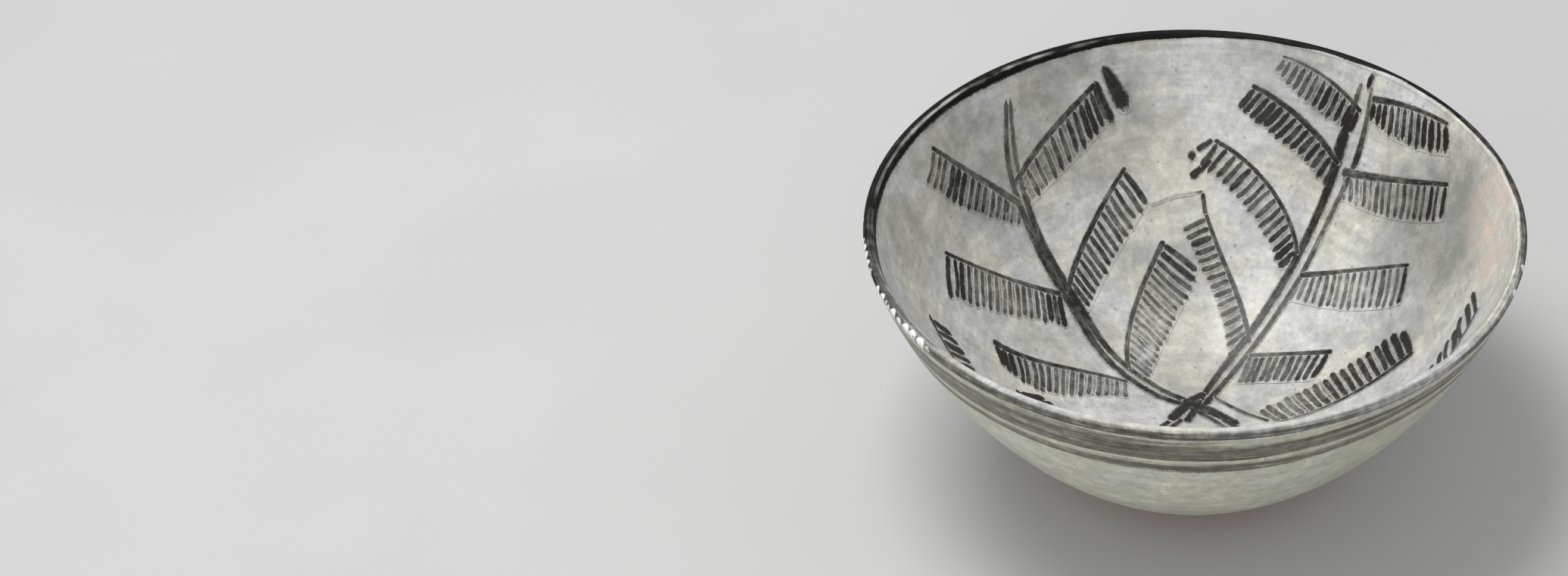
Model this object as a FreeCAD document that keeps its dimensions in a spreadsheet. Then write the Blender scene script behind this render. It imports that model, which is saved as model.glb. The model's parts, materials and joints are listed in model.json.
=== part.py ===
"""Hand-thrown pottery bowl with a pale slip coat and leaf sprays painted in dark slip.

The bowl is a clay body with an inner and an outer slip coat over it. On the coats lie the
painted pieces: the line over the rim, two bands outside, two crossing stems inside and the
comb-shaped leaves along them. Every layer follows the one below it face to face.
Lengths are in millimetres, +Z is up and the origin is the middle of the resting ring.
"""
import FreeCAD, Part
import math
import os

import Sketcher

os.makedirs("parts", exist_ok=True)

V = FreeCAD.Vector
AXIS = V(0, 0, 1)
START, END, CENTRE = 1, 2, 3
ORIGIN = (-1, START)
UPRIGHT = -2

# name, size, meaning
SIZES = [
    ("rim_radius", 99.5, "clay radius at the widest point of the lip"),
    ("rim_height", 88.0, "clay height from the resting ring to the lip's crown"),
    ("wall_at_lip", 2.2, "clay thickness at the lip, which is fully rounded"),
    ("rim_lean", 18.4, "lean of the wall from upright at the rim, in degrees"),
    ("base_radius", 31.8, "outer radius of the flat ring that the bowl rests on"),
    ("heel_round", 4.0, "rounding of the heel between that ring and the outer wall"),
    ("floor_thickness", 6.0, "height of the floor's middle over the ground"),
    ("knee_angle", 45.0, "slope where the floor's curve passes into the wall's, in degrees"),
    ("recess_radius", 26.0, "radius of the hollow under the base"),
    ("recess_depth", 1.2, "depth of the hollow under the base"),
    ("slip_thickness", 0.4, "pale slip coat"),
    ("slip_foot_height", 7.0, "height where the outer slip coat ends above the ground"),
    ("paint_thickness", 0.15, "dark slip paint"),
    ("rim_paint_thickness", 0.3, "dark slip of the rim line, where the brush was fully charged"),
    ("rim_line_inside", 2.5, "width of the rim line below the lip, inside"),
    ("rim_line_outside", 0.6, "width of the rim line below the lip, outside"),
    ("wide_band_drop", 7.8, "top of the wide outer band below the crown"),
    ("wide_band_height", 6.8, "height of the wide outer band"),
    ("thin_band_drop", 18.6, "top of the thin outer band below the crown"),
    ("thin_band_height", 3.6, "height of the thin outer band"),
    ("stem_line_width", 1.9, "each of the two brush lines of a stem"),
    ("stem_line_gap", 1.5, "pale gap between the two lines of a stem"),
    ("spine_width", 1.7, "brush line that carries a leaf's strokes"),
    ("stroke_root_width", 1.1, "leaf stroke where it leaves the spine"),
    ("stroke_end_width", 1.7, "leaf stroke at its rounded end"),
]

# Places on the inner wall are pairs: the angle round the bowl in degrees, from +X, and the
# share of the wall's girth from the floor's middle (0) to the lip (1).
# A stem is two brush lines side by side. Its places carry a third number, the share of the
# full distance between the lines, which run together at the rim and at the crossing.
# The left stem runs from rim to rim. The other two end against it, near the floor's middle.
STEM_SHARES = {
    "left_stem": [(130, 0.94, 0.5), (134, 0.77, 1), (136, 0.58, 1), (136, 0.43, 0.9),
                  (139, 0.27, 0.5), (130, 0.12, 0.6), (89, 0.055, 0.5), (-22, 0.115, 0.8),
                  (-50, 0.26, 1), (-56, 0.45, 1), (-57, 0.7, 1), (-54, 0.94, 0.5)],
    "right_stem": [(54, 0.96, 0.5), (56, 0.82, 1), (55, 0.65, 1), (56, 0.49, 1),
                   (58, 0.33, 1), (62, 0.18, 1), (72, 0.055, 0.6)],
    "near_left_stem": [(-131, 0.94, 0.5), (-134, 0.77, 1), (-135, 0.6, 1), (-136, 0.42, 1),
                       (-142, 0.24, 1), (-166, 0.105, 0.8), (125, 0.05, 0.6)],
}

# A leaf has its strokes between two curves: the spine from root to tip, and the hem where
# the strokes end. Each curve is three places: at the root, in the middle and at the tip.
LEAF_SHARES = {
    "left_leaf_upper": (14, [(138, 0.72), (145, 0.825), (152, 0.94)],
                        [(142, 0.67), (151, 0.765), (158, 0.89)]),
    "left_leaf_middle": (18, [(141, 0.475), (153, 0.585), (164, 0.735)],
                         [(148, 0.405), (162, 0.525), (174, 0.675)]),
    "left_leaf_lower": (17, [(149, 0.22), (166, 0.365), (174, 0.52)],
                        [(165, 0.195), (182, 0.345), (180, 0.48)]),
    "back_left_leaf_upper": (13, [(131, 0.765), (118, 0.85), (108, 0.935)],
                             [(130, 0.685), (117, 0.745), (105, 0.84)]),
    "back_left_leaf_middle": (16, [(131, 0.485), (118, 0.585), (107, 0.695)],
                              [(129, 0.40), (114, 0.49), (102, 0.605)]),
    "back_left_leaf_lower": (18, [(131, 0.225), (114, 0.36), (100, 0.49)],
                             [(122, 0.185), (99, 0.32), (93, 0.43)]),
    "back_right_leaf_top": (12, [(58, 0.91), (65, 0.945), (72, 0.965)],
                            [(61, 0.855), (68, 0.89), (75, 0.935)]),
    "back_right_leaf_upper": (14, [(59, 0.775), (69, 0.84), (79, 0.89)],
                              [(61, 0.71), (73, 0.775), (82, 0.83)]),
    "back_right_leaf_middle": (15, [(60, 0.545), (72, 0.66), (86, 0.75)],
                               [(64, 0.485), (77, 0.595), (90, 0.685)]),
    "back_right_leaf_lower": (15, [(65, 0.32), (80, 0.46), (87, 0.58)],
                              [(72, 0.29), (86, 0.42), (91, 0.535)]),
    "right_leaf_top": (12, [(52, 0.935), (44, 0.955), (35, 0.965)],
                       [(51, 0.885), (42, 0.87), (32, 0.905)]),
    "right_leaf_upper": (16, [(52, 0.75), (40, 0.795), (28, 0.865)],
                         [(49, 0.68), (36, 0.71), (24, 0.79)]),
    "right_leaf_middle": (16, [(51, 0.49), (38, 0.56), (25, 0.655)],
                          [(49, 0.415), (31, 0.475), (18, 0.58)]),
    "right_leaf_lower": (11, [(50, 0.25), (36, 0.305), (22, 0.385)],
                         [(42, 0.19), (27, 0.25), (19, 0.33)]),
    "near_right_leaf_lower": (17, [(-4, 0.21), (-2, 0.40), (1, 0.58)],
                              [(11, 0.18), (14, 0.37), (9, 0.56)]),
    "near_right_leaf_upper": (18, [(-53, 0.48), (-28, 0.64), (-8, 0.82)],
                              [(-42, 0.43), (-18, 0.61), (1, 0.80)]),
    "near_left_leaf_middle": (18, [(-141, 0.475), (-157, 0.59), (-174, 0.735)],
                              [(-147, 0.405), (-162, 0.51), (-176, 0.655)]),
    "near_left_leaf_lower": (11, [(-150, 0.245), (-160, 0.33), (-171, 0.445)],
                             [(-160, 0.205), (-168, 0.27), (-174, 0.37)]),
}

# These leaves are repeated on the near side of the bowl, mirrored across the X axis.
MIRRORED_LEAVES = {
    "near_left_leaf_upper": "left_leaf_upper",
    "near_right_leaf_top": "right_leaf_top",
    "front_left_leaf_upper": "back_left_leaf_upper",
    "front_left_leaf_middle": "back_left_leaf_middle",
    "front_left_leaf_lower": "back_left_leaf_lower",
    "front_right_leaf_top": "back_right_leaf_top",
    "front_right_leaf_upper": "back_right_leaf_upper",
    "front_right_leaf_middle": "back_right_leaf_middle",
    "front_right_leaf_lower": "back_right_leaf_lower",
}


class Section:
    """The half section of the clay wall: its arcs, worked out from the sheet's sizes."""

    def __init__(self, read):
        lip = read("wall_at_lip") / 2
        self.lean = read("rim_lean")
        self.knee = read("knee_angle")
        self.wall_end = 90 - self.lean
        lean, knee, end = (math.radians(a) for a in (self.lean, self.knee, self.wall_end))
        self.lip_radius = lip
        self.lip_centre = (read("rim_radius") - lip, read("rim_height") - lip)
        across = (math.cos(lean), -math.sin(lean))
        self.lip_outside = tuple(m + lip * n for m, n in zip(self.lip_centre, across))
        self.lip_inside = tuple(m - lip * n for m, n in zip(self.lip_centre, across))
        # The outer wall leaves the lip square to it and runs smoothly into the round heel.
        self.heel_radius = read("heel_round")
        self.heel_centre = (read("base_radius"), self.heel_radius)
        up = tuple(c - h for c, h in zip(self.lip_outside, self.heel_centre))
        along = up[0] * across[0] + up[1] * across[1]
        square = up[0] ** 2 + up[1] ** 2 - self.heel_radius ** 2
        self.outer_radius = square / (2 * (along - self.heel_radius))
        self.outer_centre = tuple(c - self.outer_radius * n for c, n in zip(self.lip_outside, across))
        self.heel_angle = math.degrees(math.atan2(self.heel_centre[1] - self.outer_centre[1],
                                                  self.heel_centre[0] - self.outer_centre[0]))
        # The floor starts level on the axis and meets the inner wall smoothly at the knee.
        rise = self.lip_inside[1] - read("floor_thickness")
        reach = self.lip_inside[0]
        floor_reach, wall_reach = math.sin(knee), math.sin(end) - math.sin(knee)
        floor_rise, wall_rise = 1 - math.cos(knee), math.cos(knee) - math.cos(end)
        scale = floor_reach * wall_rise - wall_reach * floor_rise
        self.floor_radius = (reach * wall_rise - wall_reach * rise) / scale
        self.wall_radius = (floor_reach * rise - floor_rise * reach) / scale
        self.floor_centre = (0, read("floor_thickness") + self.floor_radius)
        gap = self.floor_radius - self.wall_radius
        self.wall_centre = (gap * math.sin(knee), self.floor_centre[1] - gap * math.cos(knee))
        self.floor_girth = self.floor_radius * knee
        self.girth = self.floor_girth + self.wall_radius * (end - knee)

    def outer_angle(self, height, lift=0):
        """Angle, about its own centre, where the lifted outer wall has this height."""
        return math.degrees(math.asin((height - self.outer_centre[1]) / (self.outer_radius + lift)))

    def inside_slope(self, share):
        """Slope of the inner wall at a share of its girth, in radians."""
        girth = share * self.girth
        if girth < self.floor_girth:
            return girth / self.floor_radius
        return math.radians(self.knee) + (girth - self.floor_girth) / self.wall_radius

    def inside_radius(self, share, lift):
        """Plan radius of the inner wall at a share of its girth."""
        slope = self.inside_slope(share)
        if share * self.girth < self.floor_girth:
            return (self.floor_radius - lift) * math.sin(slope)
        return self.wall_centre[0] + (self.wall_radius - lift) * math.sin(slope)


LIP_ARC = "Sizes.wall_at_lip / 2"
FLOOR_ARC = "ClaySection.Constraints.floor_arc / 1 mm"
WALL_ARC = "ClaySection.Constraints.wall_arc / 1 mm"
OUTER_ARC = "ClaySection.Constraints.outer_arc / 1 mm"
WALL_SPAN = "90 - Sizes.rim_lean - Sizes.knee_angle"
RIM_INSIDE_SPAN = "Sizes.rim_line_inside / (%s) * 180 / pi" % WALL_ARC
RIM_OUTSIDE_SPAN = "Sizes.rim_line_outside / (%s) * 180 / pi" % OUTER_ARC


class Stretch:
    """One arc of the wall, with the texts that bind its radius and its span to the sheet."""

    def __init__(self, centre, radius, start, end, inside, radius_text, span_text):
        self.centre = centre
        self.radius = radius
        self.start = start
        self.end = end
        self.side = -1 if inside else 1
        self.radius_text = radius_text
        self.span_text = span_text
        # Going from the floor over the lip and down, inner arcs run with their angle.
        self.first, self.last = (START, END) if inside else (END, START)
        if radius_text == LIP_ARC:
            self.first, self.last, self.side = END, START, 1


class Outline:
    """A half section drawn as a sketch on the body's own XZ plane, with bound constraints."""

    def __init__(self, body, name):
        self.sketch = body.newObject("Sketcher::SketchObject", name)
        plane = next(f for f in body.Origin.OriginFeatures if f.Role == "XZ_Plane")
        self.sketch.AttachmentSupport = [(plane, "")]
        self.sketch.MapMode = "FlatFace"

    def arc(self, centre, radius, start, end):
        circle = Part.Circle(V(*centre, 0), AXIS, radius)
        return self.sketch.addGeometry(
            Part.ArcOfCircle(circle, math.radians(start), math.radians(end)))

    def line(self, start, end, construction=False):
        return self.sketch.addGeometry(Part.LineSegment(V(*start, 0), V(*end, 0)), construction)

    def point(self, geometry, place):
        found = self.sketch.getPoint(geometry, place)
        return (found.x, found.y)

    def join(self, *pairs):
        """Close corners, each given as two (curve, point) pairs."""
        for first, second in pairs:
            self.tie("Coincident", *first, *second)

    def tie(self, kind, *where):
        self.sketch.addConstraint(Sketcher.Constraint(kind, *where))

    def bind(self, kind, *where, value, text):
        """Add a constraint whose size follows the expression in text."""
        index = self.sketch.addConstraint(Sketcher.Constraint(kind, *where, value))
        self.sketch.setExpression("Constraints[%d]" % index, text)

    def measure(self, name, kind, *where, value):
        """Name a size that follows from the others, so that the layers can read it."""
        index = self.sketch.addConstraint(Sketcher.Constraint(kind, *where, value))
        self.sketch.setDriving(index, False)
        self.sketch.renameConstraint(index, name)

    def chain(self, stretches, lift, lift_text):
        """Draw tangent arcs one after another, lifted off the clay."""
        drawn = []
        for stretch in stretches:
            radius = stretch.radius + stretch.side * lift
            arc = self.arc(stretch.centre, radius, stretch.start, stretch.end)
            if drawn:
                before = drawn[-1]
                self.tie("Tangent", before[0], before[2], arc, stretch.first)
            sign = "-" if stretch.side < 0 else "+"
            self.bind("Radius", arc, value=radius,
                      text="%s %s (%s)" % (stretch.radius_text, sign, lift_text))
            if stretch.span_text:
                self.bind("Angle", arc, value=math.radians(stretch.end - stretch.start),
                          text="(%s) * 1 deg" % stretch.span_text)
            drawn.append((arc, stretch.first, stretch.last))
        return drawn

    def cap(self, below, above):
        """Close the strip between two chains with a short line at either end."""
        lines = []
        for low, high, place in ((below[0], above[0], 1), (below[-1], above[-1], 2)):
            line = self.line(self.point(low[0], low[place]), self.point(high[0], high[place]))
            self.join(((low[0], low[place]), (line, START)), ((high[0], high[place]), (line, END)))
            lines.append(line)
        return lines


def revolve(body, outline, name):
    """Turn a half section round the upright axis."""
    turned = body.newObject("PartDesign::Revolution", name)
    turned.Profile = (outline.sketch, [""])
    turned.ReferenceAxis = (outline.sketch, ["V_Axis"])
    turned.Angle = 360
    return turned


class Bowl:
    """The document of the bowl, with one method for each kind of piece."""

    def __init__(self):
        self.doc = FreeCAD.newDocument("PaintedBowl")
        self.sheet = self.doc.addObject("Spreadsheet::Sheet", "Sizes")
        for row, (name, value, meaning) in enumerate(SIZES, start=1):
            self.sheet.set("A%d" % row, name)
            self.sheet.set("B%d" % row, str(value))
            self.sheet.set("C%d" % row, meaning)
            self.sheet.setAlias("B%d" % row, name)
        self.doc.recompute()
        self.section = Section(self.read)
        self.pieces = []

    def read(self, name):
        return float(self.sheet.get(name))

    def body(self, name):
        made = self.doc.addObject("PartDesign::Body", name)
        made.Label = name
        return made

    def keep(self, piece):
        """Take a finished piece into the set that is written out."""
        piece.Placement = FreeCAD.Placement(V(0, 0, 0), FreeCAD.Rotation())
        self.pieces.append(piece)

    def wall_stretches(self, span_text=WALL_SPAN, trimmed=0.0):
        """The floor and the inner wall, the wall cut short of the lip by an angle."""
        part = self.section
        return [
            Stretch(part.floor_centre, part.floor_radius, -90, part.knee - 90, True,
                    FLOOR_ARC, "Sizes.knee_angle"),
            Stretch(part.wall_centre, part.wall_radius, part.knee - 90,
                    -part.lean - trimmed, True, WALL_ARC, span_text),
        ]

    def lip_stretch(self):
        part = self.section
        return Stretch(part.lip_centre, part.lip_radius, -part.lean, 180 - part.lean, False,
                       LIP_ARC, "180")

    def clay_body(self):
        """The thrown clay: two walls, a round lip, a hollowed base and a soft heel."""
        part, read = self.section, self.read
        body = self.body("clay_body")
        draw = Outline(body, "ClaySection")
        outer = draw.arc(part.outer_centre, part.outer_radius, part.heel_angle, -part.lean)
        lip = draw.arc(part.lip_centre, part.lip_radius, -part.lean, 180 - part.lean)
        wall = draw.arc(part.wall_centre, part.wall_radius, part.knee - 90, -part.lean)
        floor = draw.arc(part.floor_centre, part.floor_radius, -90, part.knee - 90)
        heel = draw.arc(part.heel_centre, part.heel_radius, -90, part.heel_angle)
        middle = draw.line((0, read("floor_thickness")), (0, 0))
        base = draw.line((0, 0), (read("base_radius"), 0))
        across = draw.line(part.lip_inside, part.lip_outside, True)
        spoke = draw.line(part.floor_centre, draw.point(floor, END), True)
        draw.tie("Tangent", base, END, heel, START)
        draw.tie("Tangent", heel, END, outer, START)
        draw.tie("Tangent", outer, END, lip, START)
        draw.tie("Tangent", lip, END, wall, END)
        draw.tie("Tangent", wall, START, floor, END)
        draw.join(((floor, START), (middle, START)), ((middle, END), (base, START)),
                  ((base, START), ORIGIN),
                  ((across, START), (lip, END)), ((across, END), (lip, START)),
                  ((spoke, START), (floor, CENTRE)), ((spoke, END), (floor, END)))
        draw.tie("Vertical", middle)
        draw.tie("Horizontal", base)
        draw.tie("PointOnObject", floor, CENTRE, UPRIGHT)
        draw.tie("PointOnObject", lip, CENTRE, across)
        draw.bind("DistanceX", *ORIGIN, base, END, value=read("base_radius"),
                  text="Sizes.base_radius")
        draw.bind("DistanceY", *ORIGIN, middle, START, value=read("floor_thickness"),
                  text="Sizes.floor_thickness")
        draw.bind("Radius", heel, value=part.heel_radius, text="Sizes.heel_round")
        draw.bind("Radius", lip, value=part.lip_radius, text=LIP_ARC)
        draw.bind("DistanceX", *ORIGIN, lip, CENTRE, value=part.lip_centre[0],
                  text="Sizes.rim_radius - Sizes.wall_at_lip / 2")
        draw.bind("DistanceY", *ORIGIN, lip, CENTRE, value=part.lip_centre[1],
                  text="Sizes.rim_height - Sizes.wall_at_lip / 2")
        draw.bind("Angle", across, value=math.radians(-part.lean), text="-Sizes.rim_lean * 1 deg")
        draw.bind("Angle", spoke, value=math.radians(part.knee - 90),
                  text="(Sizes.knee_angle - 90) * 1 deg")
        draw.measure("floor_arc", "Radius", floor, value=part.floor_radius)
        draw.measure("wall_arc", "Radius", wall, value=part.wall_radius)
        draw.measure("outer_arc", "Radius", outer, value=part.outer_radius)
        draw.measure("outer_x", "DistanceX", *ORIGIN, outer, CENTRE, value=part.outer_centre[0])
        draw.measure("outer_z", "DistanceY", *ORIGIN, outer, CENTRE, value=part.outer_centre[1])
        revolve(body, draw, "ThrownWall")
        self.doc.recompute()
        self.hollow_base(body)
        self.keep(body)
        return body

    def hollow_base(self, body):
        """Scoop the shallow dish under the base, which leaves a flat resting ring."""
        before = body.Shape.Volume
        reach, depth = self.read("recess_radius"), self.read("recess_depth")
        radius = (reach ** 2 + depth ** 2) / (2 * depth)
        draw = Outline(body, "RecessSection")
        edge = math.degrees(math.atan2(radius - depth, reach))
        dish = draw.arc((0, depth - radius), radius, edge, 90)
        middle = draw.line((0, depth), (0, 0))
        ground = draw.line((0, 0), (reach, 0))
        draw.join(((dish, END), (middle, START)), ((middle, END), (ground, START)),
                  ((ground, END), (dish, START)), ((ground, START), ORIGIN))
        draw.tie("Vertical", middle)
        draw.tie("Horizontal", ground)
        draw.tie("PointOnObject", dish, CENTRE, UPRIGHT)
        draw.bind("DistanceX", *ORIGIN, ground, END, value=reach, text="Sizes.recess_radius")
        draw.bind("DistanceY", *ORIGIN, middle, START, value=depth, text="Sizes.recess_depth")
        recess = body.newObject("PartDesign::Groove", "BaseRecess")
        recess.Profile = (draw.sketch, [""])
        recess.ReferenceAxis = (draw.sketch, ["V_Axis"])
        recess.Angle = 360
        self.doc.recompute()
        if not body.Shape.Volume < before:
            raise RuntimeError("the recess under the base cut nothing")

    def lining(self, name, stretches, low, high):
        """A coat over the inside, from the floor's middle up, between two lifts."""
        body = self.body(name)
        draw = Outline(body, name.title().replace("_", "") + "Section")
        chains = []
        for lift, text in (low, high):
            drawn = draw.chain(stretches, lift, text)
            floor = drawn[0][0]
            draw.tie("PointOnObject", floor, CENTRE, UPRIGHT)
            draw.tie("PointOnObject", floor, START, UPRIGHT)
            draw.bind("DistanceY", *ORIGIN, floor, START, value=draw.point(floor, START)[1],
                      text="Sizes.floor_thickness + (%s)" % text)
            chains.append(drawn)
        draw.cap(*chains)
        revolve(body, draw, name.title().replace("_", "") + "Coat")
        return body

    def rim_line(self, low, high):
        """The painted line over the lip, from the inner wall to just below it outside."""
        part, read = self.section, self.read
        inside = math.degrees(read("rim_line_inside") / part.wall_radius)
        outside = math.degrees(read("rim_line_outside") / part.outer_radius)
        stretches = [
            Stretch(part.wall_centre, part.wall_radius, -part.lean - inside, -part.lean, True,
                    WALL_ARC, RIM_INSIDE_SPAN),
            self.lip_stretch(),
            Stretch(part.outer_centre, part.outer_radius, -part.lean - outside, -part.lean, False,
                    OUTER_ARC, RIM_OUTSIDE_SPAN),
        ]
        body = self.body("rim_line")
        draw = Outline(body, "RimLineSection")
        chains = []
        for lift, text in (low, high):
            drawn = draw.chain(stretches, lift, text)
            lip = drawn[1][0]
            draw.bind("DistanceX", *ORIGIN, lip, CENTRE, value=part.lip_centre[0],
                      text="Sizes.rim_radius - Sizes.wall_at_lip / 2")
            draw.bind("DistanceY", *ORIGIN, lip, CENTRE, value=part.lip_centre[1],
                      text="Sizes.rim_height - Sizes.wall_at_lip / 2")
            draw.bind("DistanceY", *ORIGIN, lip, START, value=draw.point(lip, START)[1],
                      text="Sizes.rim_height - Sizes.wall_at_lip / 2"
                           " - (Sizes.wall_at_lip / 2 + %s) * sin(Sizes.rim_lean)" % text)
            chains.append(drawn)
        draw.cap(*chains)
        revolve(body, draw, "RimLinePaint")
        self.keep(body)

    def outer_coat(self, name, top, top_text, foot, foot_text, low, high):
        """A coat or a band on the outer wall, between two heights and two lifts."""
        part = self.section
        body = self.body(name)
        draw = Outline(body, name.title().replace("_", "") + "Section")
        angles = (part.outer_angle(foot, low[0]), part.outer_angle(top, low[0]))
        stretch = Stretch(part.outer_centre, part.outer_radius, *angles, False, OUTER_ARC, None)
        chains = [draw.chain([stretch], lift, text) for lift, text in (low, high)]
        for drawn in chains:
            arc = drawn[0][0]
            draw.bind("DistanceX", *ORIGIN, arc, CENTRE, value=part.outer_centre[0],
                      text="ClaySection.Constraints.outer_x")
            draw.bind("DistanceY", *ORIGIN, arc, CENTRE, value=part.outer_centre[1],
                      text="ClaySection.Constraints.outer_z")
        inner = chains[0][0][0]
        draw.bind("DistanceY", *ORIGIN, inner, END, value=top, text=top_text)
        draw.bind("DistanceY", *ORIGIN, inner, START, value=foot, text=foot_text)
        for line in draw.cap(*chains):
            draw.tie("PointOnObject", inner, CENTRE, line)
        revolve(body, draw, name.title().replace("_", "") + "Coat")
        self.keep(body)


class Brushwork:
    """Brush lines on the inner slip: drawn in plan, then cut out of a film of paint."""

    def __init__(self, bowl, film):
        self.bowl = bowl
        self.film = film
        self.lift = bowl.read("slip_thickness")
        self.drawn = []

    def directions(self, turn):
        """Unit steps in plan, round the bowl and away from its middle."""
        angle = math.radians(turn)
        return V(-math.sin(angle), math.cos(angle), 0), V(math.cos(angle), math.sin(angle), 0)

    def plan(self, place, heading=(0, 0), aside=0.0, ahead=0.0):
        """The ground point below a place on the wall, moved by real lengths on the wall."""
        turn, share = place
        radius = self.bowl.section.inside_radius(share, self.lift)
        level = math.cos(self.bowl.section.inside_slope(share))
        around, outward = self.directions(turn)
        step_around = ahead * heading[0] - aside * heading[1]
        step_outward = ahead * heading[1] + aside * heading[0]
        return outward * (radius + step_outward * level) + around * step_around

    def headings(self, places):
        """Unit directions of a brush line on the wall: round it and up it, at each place."""
        found = []
        for index, (turn, share) in enumerate(places):
            before, after = places[max(index - 1, 0)], places[min(index + 1, len(places) - 1)]
            step = self.plan(after) - self.plan(before)
            around, outward = self.directions(turn)
            level = math.cos(self.bowl.section.inside_slope(share))
            parts = (step.dot(around), step.dot(outward) / level)
            found.append(tuple(part / math.hypot(*parts) for part in parts))
        return found

    def line_face(self, places, widths, asides):
        """One brush line through its places, with a square start and a round end."""
        headings = self.headings(places)
        right, left = ([self.plan(place, heading, aside + sign * width / 2)
                        for place, heading, width, aside in zip(places, headings, widths, asides)]
                       for sign in (-1, 1))
        tip = self.plan(places[-1], headings[-1], asides[-1], widths[-1] / 2)
        edges = [self.side(right), Part.Arc(right[-1], tip, left[-1]).toShape(),
                 self.side(left[::-1]), self.side([left[0], right[0]])]
        return Part.Face(Part.Wire(edges))

    def side(self, points):
        """A straight edge through two points, an arc through three or a smooth curve."""
        if len(points) == 2:
            return Part.LineSegment(*points).toShape()
        if len(points) == 3:
            return Part.Arc(*points).toShape()
        curve = Part.BSplineCurve()
        curve.interpolate(points)
        return curve.toShape()

    def between(self, curve, part):
        """The place on a curve of three places at a part of its way."""
        weights = ((1 - part) * (1 - 2 * part), 4 * part * (1 - part), part * (2 * part - 1))
        return tuple(sum(w * place[i] for w, place in zip(weights, curve)) for i in (0, 1))

    def stem(self, name, shares):
        """A stem: two brush lines side by side, joined where they run together."""
        read = self.bowl.read
        width = read("stem_line_width")
        apart = (width + read("stem_line_gap")) / 2
        places = [(turn, share) for turn, share, spread in shares]
        faces = []
        for sign in (-1, 1):
            asides = [sign * apart * spread for turn, share, spread in shares]
            faces.append(self.line_face(places, [width] * len(places), asides))
        self.paint(name, faces)

    def leaf(self, name, strokes, spine, hem):
        """A comb-shaped leaf: a spine with strokes that reach to the hem."""
        read = self.bowl.read
        faces = [self.line_face(spine, [read("spine_width")] * len(spine), [0] * len(spine))]
        widths = [read("stroke_root_width"), read("stroke_end_width")]
        for stroke in range(strokes):
            part = (stroke + 0.5) / strokes
            ends = [self.between(spine, part), self.between(hem, part)]
            faces.append(self.line_face(ends, widths, [0, 0]))
        self.paint(name, faces)

    def paint(self, name, faces):
        """Cut the outline out of the film, clear of what was painted before."""
        doc = self.bowl.doc
        outline = faces[0].multiFuse(faces[1:]).removeSplitter()
        for other in self.drawn:
            if outline.BoundBox.intersect(other.BoundBox):
                outline = outline.cut(other)
        outline = max(outline.Faces, key=lambda face: face.Area)
        self.drawn.append(outline)
        drawing = doc.addObject("Part::Feature", name + "_outline")
        drawing.Shape = outline
        prism = doc.addObject("Part::Extrusion", name + "_prism")
        prism.Base = drawing
        prism.DirMode = "Custom"
        prism.Dir = AXIS
        prism.Solid = True
        prism.setExpression("LengthFwd", "Sizes.rim_height")
        piece = doc.addObject("Part::Common", name)
        piece.Base = self.film
        piece.Tool = prism
        piece.Label = name
        self.bowl.keep(piece)


def mirrored(curve):
    """A curve of places on the other side of the X axis."""
    return [(-turn, share) for turn, share in curve]


def build():
    """Make every piece of the bowl."""
    bowl = Bowl()
    read = bowl.read
    bare = (0.0, "0")
    slip = (read("slip_thickness"), "Sizes.slip_thickness")
    paint = (read("slip_thickness") + read("paint_thickness"),
             "Sizes.slip_thickness + Sizes.paint_thickness")
    bowl.clay_body()
    bowl.keep(bowl.lining("inner_slip", bowl.wall_stretches() + [bowl.lip_stretch()], bare, slip))
    bowl.outer_coat("outer_slip", bowl.section.lip_outside[1],
                    "Sizes.rim_height - Sizes.wall_at_lip / 2 * (1 + sin(Sizes.rim_lean))",
                    read("slip_foot_height"), "Sizes.slip_foot_height", bare, slip)
    bowl.rim_line(slip, (read("slip_thickness") + read("rim_paint_thickness"),
                         "Sizes.slip_thickness + Sizes.rim_paint_thickness"))
    for band in ("wide", "thin"):
        drop, height = "%s_band_drop" % band, "%s_band_height" % band
        top = read("rim_height") - read(drop)
        top_text = "Sizes.rim_height - Sizes.%s" % drop
        bowl.outer_coat("%s_outer_band" % band, top, top_text, top - read(height),
                        "%s - Sizes.%s" % (top_text, height), slip, paint)
    rim_line_turn = math.degrees(read("rim_line_inside") / bowl.section.wall_radius)
    film = bowl.lining("paint_film",
                       bowl.wall_stretches("%s - %s" % (WALL_SPAN, RIM_INSIDE_SPAN), rim_line_turn),
                       slip, paint)
    bowl.doc.recompute()
    brush = Brushwork(bowl, film)
    for name, places in STEM_SHARES.items():
        brush.stem(name, places)
    for name, (strokes, spine, hem) in LEAF_SHARES.items():
        brush.leaf(name, strokes, spine, hem)
    for name, source in MIRRORED_LEAVES.items():
        strokes, spine, hem = LEAF_SHARES[source]
        brush.leaf(name, strokes, mirrored(spine), mirrored(hem))
    bowl.doc.recompute()
    return bowl


def check(bowl):
    """Stop if anything in the document failed, or a piece isn't one sound solid."""
    for thing in bowl.doc.Objects:
        if {"Invalid", "Error"} & set(thing.State):
            raise RuntimeError("%s failed: %s" % (thing.Label, thing.State))
    for piece in bowl.pieces:
        shape = piece.Shape
        if shape.isNull() or not shape.isValid() or len(shape.Solids) != 1:
            raise RuntimeError("%s is not one sound solid" % piece.Label)


def main():
    """Build, check and write one STEP file for each piece."""
    bowl = build()
    check(bowl)
    for piece in bowl.pieces:
        piece.Shape.exportStep("parts/%s.step" % piece.Label)


main()
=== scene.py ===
"""Dresses a hand-thrown slip-painted bowl: pale slip coats, dark brushwork, worn rim, bare foot.

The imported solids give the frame. The coats and the painted pieces are replaced by detailed ones
on the same wall; the thrown clay stays and gets its material. Lengths are in millimetres until a
vertex is placed. Angles round the bowl start at +X and are in degrees, apart from those that
where() gives and on_ring() takes.
"""
import json
import logging
import math
import random
from dataclasses import dataclass, field, replace
from enum import Enum

import bpy
from mathutils import Matrix, Vector, noise

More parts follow.
